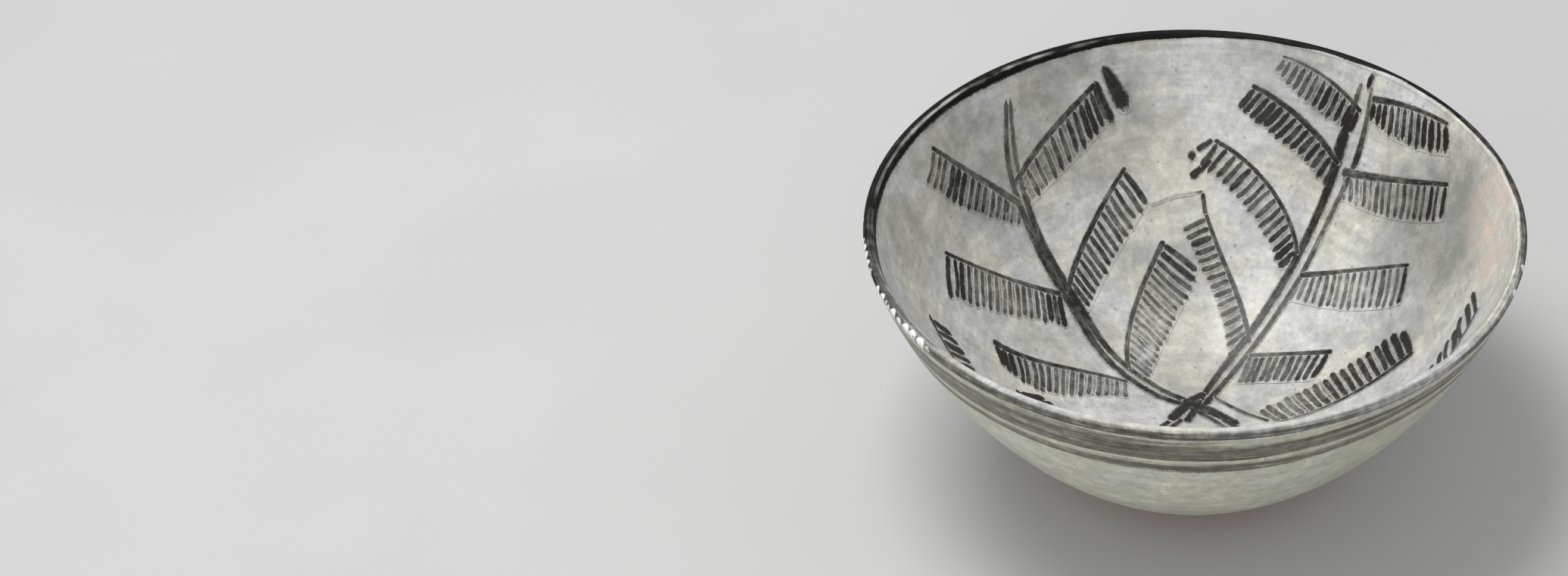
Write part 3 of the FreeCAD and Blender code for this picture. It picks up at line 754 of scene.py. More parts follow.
@dataclass
class SlipCoats:
    """The pale slip: inside and over the lip, and outside down to the foot.

    Each coat's underside lies a hair's breadth off the clay, by gap_inside or gap_outside.
    """

    wall: Wall
    steps: int = 256
    rings: int = 84
    under_rings: int = 24
    foot: float = 7.0
    dip: float = 1.6
    dip_height: float = 10.0
    gap_inside: float = 0.05
    gap_outside: float = 0.02

    def inside(self, material: bpy.types.Material) -> None:
        """Make and dress the inner coat, from the floor's middle over the lip.

        Args:
            material: the pale slip.
        """
        wall = self.wall
        top = [wall.inner(i / self.rings, wall.slip) for i in range(self.rings)]
        top += [wall.lip(angle, wall.slip) for angle in wall.lip_angles()]
        under = [wall.inner(i / self.under_rings, self.gap_inside) for i in range(self.under_rings)]
        under += [wall.lip(angle, self.gap_inside) for angle in wall.lip_angles()]
        piece = lathe("inner_slip_coat", top + under[::-1], self.steps)
        for vertex in piece.data.vertices:
            plan = vertex.co.xy / MM
            share = wall.share_at(plan.length)
            height = vertex.co.z / MM
            # Only the coat's skin is uneven, not its underside on the clay or its middle point.
            off_skin = abs(wall.inner(share, wall.slip)[1] - height)
            if share > wall.lip_share or height > wall.lip_centre[1] - wall.slip:
                wall.wave_lip(vertex)
            elif off_skin < wall.slip / 2 < plan.length:
                vertex.co = wall.on_wall(plan, 0.0)
        dress(piece, material, "inner_slip")

    def outside(self, material: bpy.types.Material) -> None:
        """Make and dress the outer coat, whose dipped edge wavers round the heel.

        Args:
            material: the pale slip.
        """
        wall = self.wall
        head = wall.lip(-wall.rim_lean, 0)[1]
        heights = [head + (self.foot - head) * i / self.rings for i in range(self.rings + 1)]
        outline = [wall.outer(h, wall.slip) for h in heights]
        outline += [wall.outer(h, self.gap_outside) for h in heights[::-4]]
        piece = lathe("outer_slip_coat", outline, self.steps)
        for vertex in piece.data.vertices:
            turn, radius, height = where(vertex)
            lift = radius - wall.outer(height, 0.0)[0]
            spot = on_ring(turn, 2.2, 3.0)
            # The dipped edge wavers slowly, with small quick notches.
            wavers = 0.75 * self.dip + self.dip * noise.noise(spot) + 0.5 * noise.noise(spot * 4)
            moved = height + max(0.0, 1 - (height - self.foot) / self.dip_height) * wavers
            skin = lift > wall.slip / 2 and height < head - 1
            strays = wall.outer_calm * wall.uneven(math.degrees(turn), height) if skin else 0.0
            vertex.co = on_ring(turn, wall.outer(moved, 0.0)[0] + lift + strays, moved) * MM
        dress(piece, material, "outer_slip")


# Lines that run round the bowl


@dataclass
class OuterBand:
    """A painted band on the outer wall, its edges drawn by hand, with thin paint rubbed above it.

    The tables pair an angle with the height of the band's upper edge and of its lower edge, its
    ink, the height up to which the thin paint reaches, the ink of that paint, and how far the
    brush's hairs parted. The paint lies lift over the slip and reaches root into it, arc is how
    long a degree is on the wall, and the upper edge melts into the thin paint over melt.
    """

    wall: Wall
    name: str
    top: list[Place]
    foot: list[Place]
    ink: list[Place]
    crown: list[Place]
    haze: list[Place]
    split: list[Place] = field(default_factory=lambda: [(0.0, 0.0)])
    stray: float = 0.6
    seed: float = 21.0
    rows: int = 16
    steps: int = 256
    soft: float = 2.0
    lift: float = 0.12
    root: float = 0.15
    arc: float = 1.7
    gap_at: float = 0.2
    gap_width: float = 0.22
    melt: float = 1.2

    def build(self, material: bpy.types.Material) -> None:
        """Make and dress the band.

        Args:
            material: the dark slip of the bands.
        """
        wall = self.wall
        first, last = self.crown[0][1], self.foot[0][1]
        heights = [first + (last - first) * i / self.rows for i in range(self.rows + 1)]
        outline = [wall.outer(h, wall.slip + self.lift) for h in heights]
        outline += [wall.outer(h, wall.slip - self.root) for h in heights[::-4]]
        piece = lathe(self.name + "_paint", outline, self.steps)
        notes = PaintNotes()
        for vertex in piece.data.vertices:
            turn, radius, height = where(vertex)
            degrees = math.degrees(turn)
            part = (height - last) / (first - last)
            lift = radius - wall.outer(height, 0.0)[0]
            # The two edges waver each by itself.
            spot = on_ring(turn, 5, self.seed)
            crown, top, foot = (round_table(t, degrees) for t in (self.crown, self.top, self.foot))
            foot += self.stray * noise.noise(spot)
            top += self.stray * noise.noise(spot + Vector((0, 0, 4)))
            moved = foot + (crown - foot) * part
            strays = wall.outer_calm * wall.uneven(degrees, moved) if lift > wall.slip else 0.0
            vertex.co = on_ring(turn, wall.outer(moved, 0.0)[0] + lift + strays, moved) * MM
            off = (moved - (top + foot) / 2) / ((top - foot) / 2)
            gap = round_table(self.split, degrees) * math.exp(-((off - self.gap_at) / self.gap_width) ** 2)
            over = clamp((moved - top) / self.melt + 0.7)
            ink = (round_table(self.ink, degrees) - gap) * (1 - over)
            ink += round_table(self.haze, degrees) * over
            edge = max(0.0, 1 - min(moved - foot, crown - moved) / self.soft)
            notes.note(ink, edge, degrees * self.arc, moved, self.seed)
        notes.write(piece)
        dress(piece, material, self.name)


@dataclass
class RimLine:
    """The dark line over the lip, wide and worn to two lines at the left.

    Each table pairs an angle with the paint's ink outside, with the share of it that is left on
    the lip's top, with how far a worn gap parts it, or with its reach down the inner wall (below
    0 it ends on the lip) and the height of its edge on the outer wall. The place across the line
    is 0 on the lip's top, -inside_start where the inner wall begins and outside_start where the
    outer wall does. A line that ends on the lip fades out over the length fade.
    """

    wall: Wall
    ink: list[Place]
    top: list[Place]
    split: list[Place]
    inside: list[Place]
    outside: list[Place]
    seed: float = 11.0
    rows: int = 14
    steps: int = 320
    band: float = 0.05
    first_row: float = 86.3
    last_row: float = 84.3
    lift: float = 0.13
    root: float = 0.15
    arc: float = 1.72
    least_reach: float = 0.25
    lip_round: float = 1.5
    inside_start: float = 1.7
    outside_start: float = 2.4
    fade: float = 0.6
    fade_at: float = 1.9
    gap_at: float = -1.2
    gap_width: float = 0.5

    def outline(self) -> list[Place]:
        """The line's half section over the lip, from the inner wall to the outer one.

        Returns:
            Radius and height of each corner.
        """
        wall, lip = self.wall, self.wall.lip_angles()
        over, below = wall.slip + self.lift, wall.slip - self.root
        top = [wall.inner(1 + self.band * (i / self.rows - 1), over) for i in range(self.rows)]
        top += [wall.lip(angle, over) for angle in lip]
        rows = [self.first_row + (self.last_row - self.first_row) * i / 5 for i in range(6)]
        top += [wall.outer(height, over) for height in rows]
        under = [wall.outer(height, below) for height in rows[::-1]]
        under += [wall.lip(angle, below) for angle in lip[::-2]]
        return top + under + [wall.inner(1 + self.band * (i / 3 - 1), below) for i in (2, 1, 0)]

    def down_inside(self, vertex: bpy.types.MeshVertex, reach: float) -> Place:
        """Move a vertex to its place on the inner wall.

        Args:
            vertex: the vertex, moved in place.
            reach: how far the line comes down there; below 0 it ends on the lip.

        Returns:
            The place across the line and how near its edge is.
        """
        wall, plan = self.wall, vertex.co.xy / MM
        turn, _, height = where(vertex)
        share = wall.share_at(plan.length)
        down = (1 - share) / self.band
        spot = on_ring(turn, 7, self.seed) * 4
        moved = max(reach + 0.2 * noise.noise(spot), self.least_reach) * down
        lift = self.lift if wall.inner(share, 0)[1] - height < 0.25 else -0.12
        radius = wall.inner(1 - moved / wall.girth, wall.slip)[0]
        vertex.co = wall.on_wall(plan.normalized() * radius, lift)
        edge = down if down > 0.6 else 0.0
        return -moved - self.inside_start, 1.0 if reach < 0 else edge

    def down_outside(self, vertex: bpy.types.MeshVertex) -> Place:
        """Move a vertex to its place on the outer wall.

        Args:
            vertex: the vertex, moved in place.

        Returns:
            The place across the line and how near its edge is.
        """
        turn, radius, height = where(vertex)
        down = (self.first_row - height) / (self.first_row - self.last_row)
        foot = round_table(self.outside, math.degrees(turn))
        foot += 0.25 * noise.noise(on_ring(turn, 6, self.seed + 5))
        moved = self.first_row - down * (self.first_row - foot)
        lift = radius - self.wall.outer(height, 0.0)[0]
        vertex.co = on_ring(turn, self.wall.outer(moved, lift)[0], moved) * MM
        return self.outside_start + self.first_row - moved, down if down > 0.5 else 0.0

    def over_lip(self, vertex: bpy.types.MeshVertex, reach: float) -> Place:
        """Move a vertex to its place on the lip.

        Args:
            vertex: the vertex, moved in place.
            reach: how far the line comes down inside; below 0 it ends on the lip.

        Returns:
            The place across the line and how near its edge is.
        """
        wall = self.wall
        _, radius, height = where(vertex)
        angle = math.atan2(height - wall.lip_centre[1], radius - wall.lip_centre[0])
        wall.wave_lip(vertex)
        off = (math.pi / 2 - angle) * self.lip_round
        bare = clamp(0.5 - (off + self.fade_at + reach) / self.fade)
        return off, bare if reach < 0 else 0.0

    def build(self, material: bpy.types.Material) -> None:
        """Make and dress the line.

        Args:
            material: the dark slip of the rim.
        """
        wall = self.wall
        piece = lathe("rim_line_paint", self.outline(), self.steps)
        notes = PaintNotes()
        for vertex in piece.data.vertices:
            turn, radius, height = where(vertex)
            degrees = math.degrees(turn)
            reach = round_table(self.inside, degrees) + 0.5 * noise.noise(on_ring(turn, 7, self.seed))
            left = round_table(self.top, degrees)
            if height < wall.inner(1.0, 0)[1] and radius < wall.lip_centre[0]:
                off, edge = self.down_inside(vertex, reach)
            elif height < self.first_row + 0.01 and radius > wall.lip_centre[0]:
                off, edge = self.down_outside(vertex)
                left = 1.0
            else:
                off, edge = self.over_lip(vertex, reach)
                left += (1 - left) * clamp((off - 0.6) / 1.2)
            # The gap between the two lines is torn open more at some places than at others.
            torn = 0.75 + 0.9 * noise.noise(on_ring(turn, 14, off * 0.5))
            gap = math.exp(-((off - self.gap_at) / self.gap_width) ** 2)
            gap *= round_table(self.split, degrees) * torn
            ink = round_table(self.ink, degrees) * left - gap
            notes.note(ink, edge, degrees * self.arc, off, self.seed)
        notes.write(piece)
        dress(piece, material, "rim_line")


# Brushwork inside


@dataclass
class Line:
    """One brush line: its path in plan, and its width and ink along the way."""

    path: list[Vector]
    widths: list[float]
    inks: list[float]
    seed: float
    lift: float = 0.11

    def length(self) -> float:
        """Rough length of the path."""
        return sum((b - a).length for a, b in zip(self.path, self.path[1:])) + 1e-6

    def read(self, values: list[float], part: float) -> float:
        """Blend values that are spread evenly along the line.

        Args:
            values: two or more values.
            part: how far along, from 0 to 1.

        Returns:
            The value there.
        """
        spot = clamp(part) * (len(values) - 1)
        index = min(int(spot), len(values) - 2)
        return values[index] + (values[index + 1] - values[index]) * (spot - index)

    def at(self, part: float) -> tuple[Vector, Vector]:
        """Point and heading on the smooth path.

        Args:
            part: how far along, from 0 to 1.

        Returns:
            The plan point and the unit heading.
        """
        last = len(self.path) - 1
        spot = clamp(part) * last
        index = min(int(spot), last - 1)
        t = spot - index
        a, b, c, d = [self.path[min(max(index + k, 0), last)] for k in (-1, 0, 1, 2)]
        a = b * 2 - c if index == 0 else a
        d = c * 2 - b if index == last - 1 else d
        bend, curl = 2 * a - 5 * b + 4 * c - d, 3 * b - a - 3 * c + d
        point = 0.5 * (2 * b + (c - a) * t + bend * t ** 2 + curl * t ** 3)
        heading = 0.5 * ((c - a) + 2 * bend * t + 3 * curl * t ** 2)
        return point, heading.normalized()


@dataclass
class Wash:
    """Thin paint that has run between the strokes of a leaf or the lines of a stem."""

    first: Line
    second: Line
    inks: list[float]
    seed: float


@dataclass
class Brush:
    """Lays lines and washes on the inner slip and joins them into one painted piece.

    A line is lower by rounding at its sides and darker by pool where it ends, and blunt keeps its
    very end from closing. The number that tells how near the edge is comes up to edge_mark.
    """

    wall: Wall
    thickness: float = 0.16
    wash_lift: float = 0.06
    rounding: float = 0.04
    pool: float = 0.25
    pool_length: float = 1.8
    blunt: float = 0.06
    edge_mark: float = 0.95
    notes: PaintNotes = field(default_factory=PaintNotes)

    def plan(self, place: Place) -> Vector:
        """Plan point of a place on the wall.

        Args:
            place: angle round the bowl and share of the girth.

        Returns:
            The plan point.
        """
        radius = self.wall.inner(place[1], self.wall.slip)[0]
        return on_ring(math.radians(place[0]), radius, 0.0).xy

    def beside(self, point: Vector, heading: Vector, aside: float) -> Vector:
        """Move a plan point sideways by a real length on the wall.

        Args:
            point: plan point.
            heading: plan direction of the line.
            aside: how far to the left of the line.

        Returns:
            The moved plan point.
        """
        if point.length < 1e-6:
            return point + Vector((-heading.y, heading.x)) * aside
        outward = point.normalized()
        around = Vector((-outward.y, outward.x))
        level = math.cos(self.wall.slope(self.wall.share_at(point.length)))
        parts = Vector((heading.dot(around), heading.dot(outward) / level)).normalized()
        return point - around * (aside * parts.y) + outward * (aside * parts.x * level)

    def strips(self, name: str, count: int, along: int, across: int) -> bpy.types.Object:
        """Make flat strips side by side, each two units from the next.

        Args:
            name: the piece's name.
            count: how many strips.
            along: cells along a strip.
            across: cells across it.

        Returns:
            The flat piece; each strip is one unit wide in X and runs from 0 to 1 in Y.
        """
        bpy.ops.object.select_all(action="DESELECT")
        bpy.ops.mesh.primitive_grid_add(x_subdivisions=across, y_subdivisions=along, size=1.0,
                                        location=(0.0, 0.5, 0.0))
        piece = bpy.context.object
        piece.name = piece.data.name = name
        bpy.ops.object.transform_apply(location=True, rotation=True, scale=True)
        harden(piece, "ARRAY", count=count, use_relative_offset=False,
               use_constant_offset=True, constant_offset_displace=(2.0, 0.0, 0.0))
        return piece

    def lay(self, vertex: bpy.types.MeshVertex, line: Line, aside: float, part: float) -> None:
        """Move a vertex of a flat strip to its place on a line.

        Args:
            vertex: the vertex, moved in place.
            line: the brush line that its strip becomes.
            aside: place across the strip, from -1 to 1.
            part: place along the strip, from 0 to 1.
        """
        length = line.length()
        # The cells lie closer together at both ends, where the line is rounded off.
        eased = 0.6 * part + 0.4 * (0.5 - 0.5 * math.cos(math.pi * part))
        point, heading = line.at(eased)
        half = line.read(line.widths, eased) / 2
        from_end, from_start = (1 - eased) * length, eased * length
        near = min(from_end, from_start) / max(half, 1e-6)
        taper = math.sqrt(max(1 - (1 - min(near, 1.0)) ** 2, self.blunt))
        vertex.co = self.wall.on_wall(self.beside(point, heading, aside * half * taper),
                                      line.lift - self.rounding * aside * aside)
        # Paint pools where the brush is lifted.
        pooled = self.pool * math.exp(-(from_end / self.pool_length) ** 2)
        edge = self.edge_mark * max(abs(aside), 1 - near if near < 1 else 0.0)
        self.notes.note(line.read(line.inks, eased) + pooled, edge, eased * length, aside * half,
                        line.seed)

    def pour(self, vertex: bpy.types.MeshVertex, wash: Wash, aside: float, part: float) -> None:
        """Move a vertex of a flat strip to its place in a wash.

        Args:
            vertex: the vertex, moved in place.
            wash: the wash that the strip becomes.
            aside: place across the strip, from -1 to 1.
            part: place along the strip, from 0 to 1.
        """
        share = (aside + 1) / 2
        plan = wash.first.at(part)[0] * (1 - share) + wash.second.at(part)[0] * share
        vertex.co = self.wall.on_wall(plan, self.wash_lift)
        edge = self.edge_mark * max(abs(aside), abs(part * 2 - 1)) ** 3
        self.notes.note(wash.first.read(wash.inks, part), edge, part * wash.first.length(), share * 9,
                        wash.seed)

    def shape(self, name: str, marks: list[Line] | list[Wash], along: int,
              across: int) -> bpy.types.Object:
        """Turn lines or washes into thin shells on the slip.

        Args:
            name: the piece's name.
            marks: the lines or washes.
            along: cells along each.
            across: cells across each.

        Returns:
            The closed shells as one object.
        """
        piece = self.strips(name, len(marks), along, across)
        self.notes = PaintNotes()
        for vertex in piece.data.vertices:
            index = min(int((vertex.co.x + 1.0) // 2), len(marks) - 1)
            aside, part, mark = (vertex.co.x - 2 * index) * 2, vertex.co.y, marks[index]
            if isinstance(mark, Wash):
                self.pour(vertex, mark, aside, part)
            else:
                self.lay(vertex, mark, aside, part)
        self.notes.write(piece)
        self.face_up(piece)
        harden(piece, "SOLIDIFY", thickness=self.thickness * MM, offset=-1.0)
        return piece

    def face_up(self, piece: bpy.types.Object) -> None:
        """Turn every face of the laid strips towards the bowl's opening.

        Args:
            piece: the laid strips in object mode.
        """
        for polygon in piece.data.polygons:
            inward = Vector((-polygon.center.x, -polygon.center.y, 0.05))
            polygon.select = polygon.normal.dot(inward) < 0
        pick(piece)
        bpy.ops.object.mode_set(mode="EDIT")
        bpy.ops.mesh.flip_normals()
        bpy.ops.object.mode_set(mode="OBJECT")

    def paint(self, node: str, lines: list[Line], strokes: list[Line], washes: list[Wash],
              material: bpy.types.Material) -> None:
        """Make and dress one painted piece.

        Args:
            node: the solid that it replaces.
            lines: its long lines.
            strokes: its short strokes.
            washes: thin paint between them.
            material: the dark slip.
        """
        parts = [self.shape(node + "_paint", lines, 60, 4)]
        if strokes:
            parts.append(self.shape(node + "_strokes", strokes, 8, 2))
        if washes:
            parts.append(self.shape(node + "_wash", washes, 40 if not strokes else 20, 6))
        bpy.ops.object.select_all(action="DESELECT")
        for part in parts:
            part.select_set(True)
        bpy.context.view_layer.objects.active = parts[0]
        if len(parts) > 1:
            bpy.ops.object.join()
        dress(parts[0], material, node)


@dataclass
class Stem:
    """Two brush lines side by side, with thin paint between them.

    Each place holds the angle, the share of the girth, the spread of the lines, the width of
    the left and of the right line, the ink of each and the ink between them. Each further line
    at its ends holds the plan points, the widths and the ink.
    """

    node: str
    places: list[tuple[float, ...]]
    ends: list[tuple[list[Place], list[float], float]] = field(default_factory=list)
    apart: float = 3.4

    def build(self, brush: Brush, material: bpy.types.Material) -> None:
        """Make and dress the stem.

        Args:
            brush: the brush that lays it.
            material: the dark slip.
        """
        centre = Line([brush.plan(p[:2]) for p in self.places], [1.0, 1.0], [1.0, 1.0], 0.0)
        last = len(self.places) - 1
        sides = []
        for index, sign in enumerate((1, -1)):
            path = []
            for count, place in enumerate(self.places):
                point, heading = centre.at(count / last)
                path.append(brush.beside(point, heading, sign * self.apart / 2 * place[2]))
            sides.append(Line(path, [p[3 + index] for p in self.places],
                              [p[5 + index] for p in self.places], 3.0 + index))
        washes = [Wash(sides[0], sides[1], [p[7] for p in self.places], 9.0)]
        extra = [Line([Vector(p) for p in path], widths, [ink, ink], 40.0 + i, 0.13)
                 for i, (path, widths, ink) in enumerate(self.ends)]
        brush.paint(self.node, sides + extra, [], washes, material)


@dataclass(frozen=True)
class Load:
    """How the brush was loaded and held for one leaf.

    Ink and wash run from the leaf's root to its tip, widths from the stroke's root to its end.
    The strokes numbered in heavy are wider and darker, join is how far the leaf runs back towards
    its stem, and each drop holds the places, the widths and the ink of one more line.
    """

    ink: Three
    widths: Place
    spine: Three
    spine_ink: Three
    heavy: tuple[int, ...]
    wash: Three
    join: float
    drops: tuple[tuple[tuple[Place, ...], tuple[float, ...], float], ...] = ()


@dataclass
class Leaf:
    """A comb-shaped leaf: a spine and the strokes that hang from it.

    No two strokes are alike: shift, reach, bow, spread and shade say within which bounds the
    place, length, bend, width and ink of each stray.
    """

    node: str
    strokes: int
    spine: list[Place]
    hem: list[Place]
    load: Load
    seed: int
    shift: Place = (-0.06, 0.06)
    reach: Place = (0.94, 1.05)
    bow: Place = (-0.03, 0.05)
    spread: Place = (1.12, 1.42)
    shade: Place = (-0.10, 0.08)
    heavy_width: float = 1.3
    heavy_ink: float = 0.2

    def between(self, curve: list[Place], part: float) -> Place:
        """Place on a curve through three places.

        Args:
            curve: the places at its start, middle and end.
            part: how far along; below 0 it runs on before the start.

        Returns:
            The place there.
        """
        weights = ((1 - part) * (1 - 2 * part), 4 * part * (1 - part), part * (2 * part - 1))
        return tuple(sum(w * p[i] for w, p in zip(weights, curve)) for i in (0, 1))

    def build(self, brush: Brush, material: bpy.types.Material) -> None:
        """Make and dress the leaf.

        Args:
            brush: the brush that lays it.
            material: the dark slip.
        """
        dice, load = random.Random(self.seed), self.load
        whole = 1 + load.join
        curves = [[brush.plan(self.between(curve, k / 8 * whole - load.join)) for k in range(9)]
                  for curve in (self.spine, self.hem)]
        seed = self.seed * 7.3
        spine = Line(curves[0], list(load.spine), list(load.spine_ink), seed, 0.13)
        hem = Line(curves[1], [1.0, 1.0], [1.0, 1.0], seed)
        strokes = []
        for count in range(self.strokes):
            part = (count + 0.5 + dice.uniform(*self.shift)) / self.strokes
            root, end = spine.at(part)[0], hem.at(part)[0]
            end = root + (end - root) * dice.uniform(*self.reach)
            aside = Vector((root.y - end.y, end.x - root.x)) * dice.uniform(*self.bow)
            wide = dice.uniform(*self.spread)
            ink = three_way(load.ink, part) + dice.uniform(*self.shade)
            if count in load.heavy:
                wide, ink = wide * self.heavy_width, ink + self.heavy_ink
            widths = [w * wide for w in (load.widths[0], sum(load.widths) / 2, load.widths[1])]
            strokes.append(Line([root, (root + end) / 2 + aside, end], widths,
                                [ink + 0.10, ink - 0.02, ink - 0.06], seed + 1.7 * count))
        drops = [Line([brush.plan(place) for place in places], list(widths), [ink, ink], seed - count)
                 for count, (places, widths, ink) in enumerate(load.drops)]
        wash = Wash(spine, hem, list(load.wash), seed)
        brush.paint(self.node, [spine] + drops, strokes, [wash], material)


STEMS = [
    Stem("left_stem", [
        (130, 0.94, 0.45, 2.2, 2.0, 0.66, 0.62, 0.25), (134, 0.77, 0.95, 2.7, 2.4, 0.70, 0.62, 0.22),
        (136, 0.58, 0.6, 4.1, 3.9, 0.76, 0.84, 0.95), (136, 0.43, 0.6, 4.8, 4.6, 0.90, 0.98, 1.0),
        (139, 0.27, 0.9, 3.2, 2.7, 0.74, 0.80, 0.30), (130, 0.12, 0.9, 2.5, 2.2, 0.80, 0.74, 0.1),
        (89, 0.055, 0.5, 2.6, 3.0, 0.98, 0.98, 0.8), (-22, 0.115, 0.8, 1.5, 2.5, 0.60, 0.85, 0.1),
        (-50, 0.26, 1, 2.0, 2.3, 0.7, 0.75, 0.1), (-56, 0.45, 1, 2.3, 2.3, 0.75, 0.75, 0.1),
        (-57, 0.7, 1, 2.3, 2.3, 0.75, 0.75, 0.1), (-54, 0.94, 0.5, 1.8, 1.8, 0.65, 0.65, 0.0)],
        [([(-3.0, 10.0), (5.5, 5.5), (15.1, -2.5)], [3.0, 4.4, 3.4], 1.0),
         ([(6.9, 11.4), (15.0, 4.5), (24.6, -2.9)], [1.4, 1.7, 1.3], 0.70)]),
    Stem("right_stem", [
        (55.4, 0.965, 1.1, 1.8, 1.6, 0.45, 0.50, 0.0), (55.2, 0.87, 1.8, 3.6, 2.4, 1.05, 0.66, 0.1),
        (55.0, 0.79, 2.0, 5.4, 3.0, 1.20, 0.88, 0.12), (55, 0.70, 1.5, 4.0, 2.6, 1.05, 0.70, 0.10),
        (55.5, 0.60, 1.25, 3.6, 2.6, 0.86, 0.60, 0.14), (56, 0.49, 1.25, 3.6, 2.4, 0.86, 0.66, 0.12),
        (58, 0.33, 1.15, 3.5, 2.5, 0.88, 0.76, 0.12), (62, 0.18, 1.1, 3.1, 2.6, 0.88, 0.75, 0.16),
        (72, 0.055, 0.6, 2.8, 3.0, 1.0, 1.0, 0.8)],
        [([(4.5, 13.0), (-0.6, 8.8), (-7.0, -0.1)], [3.0, 4.6, 4.4], 1.05),
         ([(3.0, 10.5), (0.5, 4.0), (-1.6, -0.3)], [2.6, 3.4, 3.2], 1.0),
         ([(56.3, 79.0), (55.2, 78.4), (54.3, 77.6)], [2.0, 2.4, 1.8], 0.9)]),
    Stem("near_left_stem", [
        (-131, 0.94, 0.5, 1.5, 1.6, 0.65, 0.65, 0.0), (-134, 0.77, 1, 2.0, 1.9, 0.75, 0.7, 0.1),
        (-135, 0.6, 1, 2.2, 2.3, 0.75, 0.75, 0.3), (-136, 0.42, 1, 2.3, 2.4, 0.75, 0.8, 0.4),
        (-138, 0.24, 1, 2.1, 2.1, 0.75, 0.75, 0.2), (-147, 0.10, 0.8, 1.9, 1.9, 0.8, 0.8, 0.1),
        (150, 0.03, 0.6, 2.2, 2.2, 0.95, 0.95, 0.5)]),
]

LEAVES = {
    "left_leaf_upper": (14, [(138, 0.72), (145, 0.825), (152, 0.94)],
                        [(142, 0.67), (151, 0.765), (158, 0.89)]),
    "left_leaf_middle": (18, [(141, 0.475), (153, 0.585), (164, 0.735)],
                         [(148, 0.405), (162, 0.525), (174, 0.675)]),
    "left_leaf_lower": (17, [(149, 0.22), (166, 0.365), (174, 0.52)],
                        [(165, 0.195), (182, 0.345), (180, 0.48)]),
    "back_left_leaf_upper": (12, [(131, 0.765), (118, 0.85), (111, 0.905)],
                             [(130, 0.685), (117, 0.745), (108.5, 0.815)]),
    "back_left_leaf_middle": (16, [(131, 0.485), (118, 0.585), (107, 0.695)],
                              [(129, 0.40), (114, 0.49), (102, 0.605)]),
    "back_left_leaf_lower": (18, [(132, 0.235), (112.5, 0.37), (99.3, 0.508)],
                                 [(127, 0.165), (101.5, 0.272), (88, 0.44)]),
    "back_right_leaf_top": (12, [(57.5, 0.91), (66, 0.953), (73.5, 0.972)],
                                [(58.5, 0.835), (68, 0.872), (75, 0.932)]),
    "back_right_leaf_upper": (14, [(59, 0.775), (69, 0.84), (79, 0.89)],
                              [(61, 0.71), (73, 0.775), (82, 0.83)]),
    "back_right_leaf_middle": (15, [(60, 0.545), (72, 0.66), (86, 0.75)],
                               [(64, 0.485), (77, 0.595), (90, 0.685)]),
    "back_right_leaf_lower": (15, [(64.5, 0.31), (78.5, 0.437), (87, 0.57)],
                                  [(71.5, 0.26), (86, 0.41), (94, 0.536)]),
    "right_leaf_top": (12, [(52, 0.94), (44, 0.962), (34.5, 0.98)],
                           [(51, 0.875), (41.5, 0.873), (31.2, 0.918)]),
    "right_leaf_upper": (16, [(52, 0.75), (40, 0.795), (28, 0.865)],
                         [(49, 0.68), (36, 0.71), (24, 0.79)]),
    "right_leaf_middle": (16, [(51, 0.49), (38, 0.56), (25, 0.655)],
                          [(49, 0.415), (31, 0.475), (18, 0.58)]),
    "right_leaf_lower": (11, [(52, 0.25), (37, 0.302), (23, 0.38)],
                             [(43.5, 0.172), (26.5, 0.23), (15, 0.308)]),
    "near_right_leaf_lower": (17, [(-8, 0.235), (-3.4, 0.40), (-1.5, 0.58)],
                                  [(11, 0.185), (13.8, 0.37), (10, 0.565)]),
    "near_right_leaf_upper": (18, [(-53, 0.48), (-28, 0.64), (-8, 0.82)],
                              [(-42, 0.43), (-18, 0.61), (1, 0.80)]),
    "near_left_leaf_middle": (18, [(-141, 0.475), (-157, 0.59), (-174, 0.735)],
                              [(-147, 0.405), (-162, 0.51), (-176, 0.655)]),
    "near_left_leaf_lower": (11, [(-150, 0.245), (-160, 0.33), (-171, 0.445)],
                             [(-160, 0.205), (-168, 0.27), (-174, 0.37)]),
}

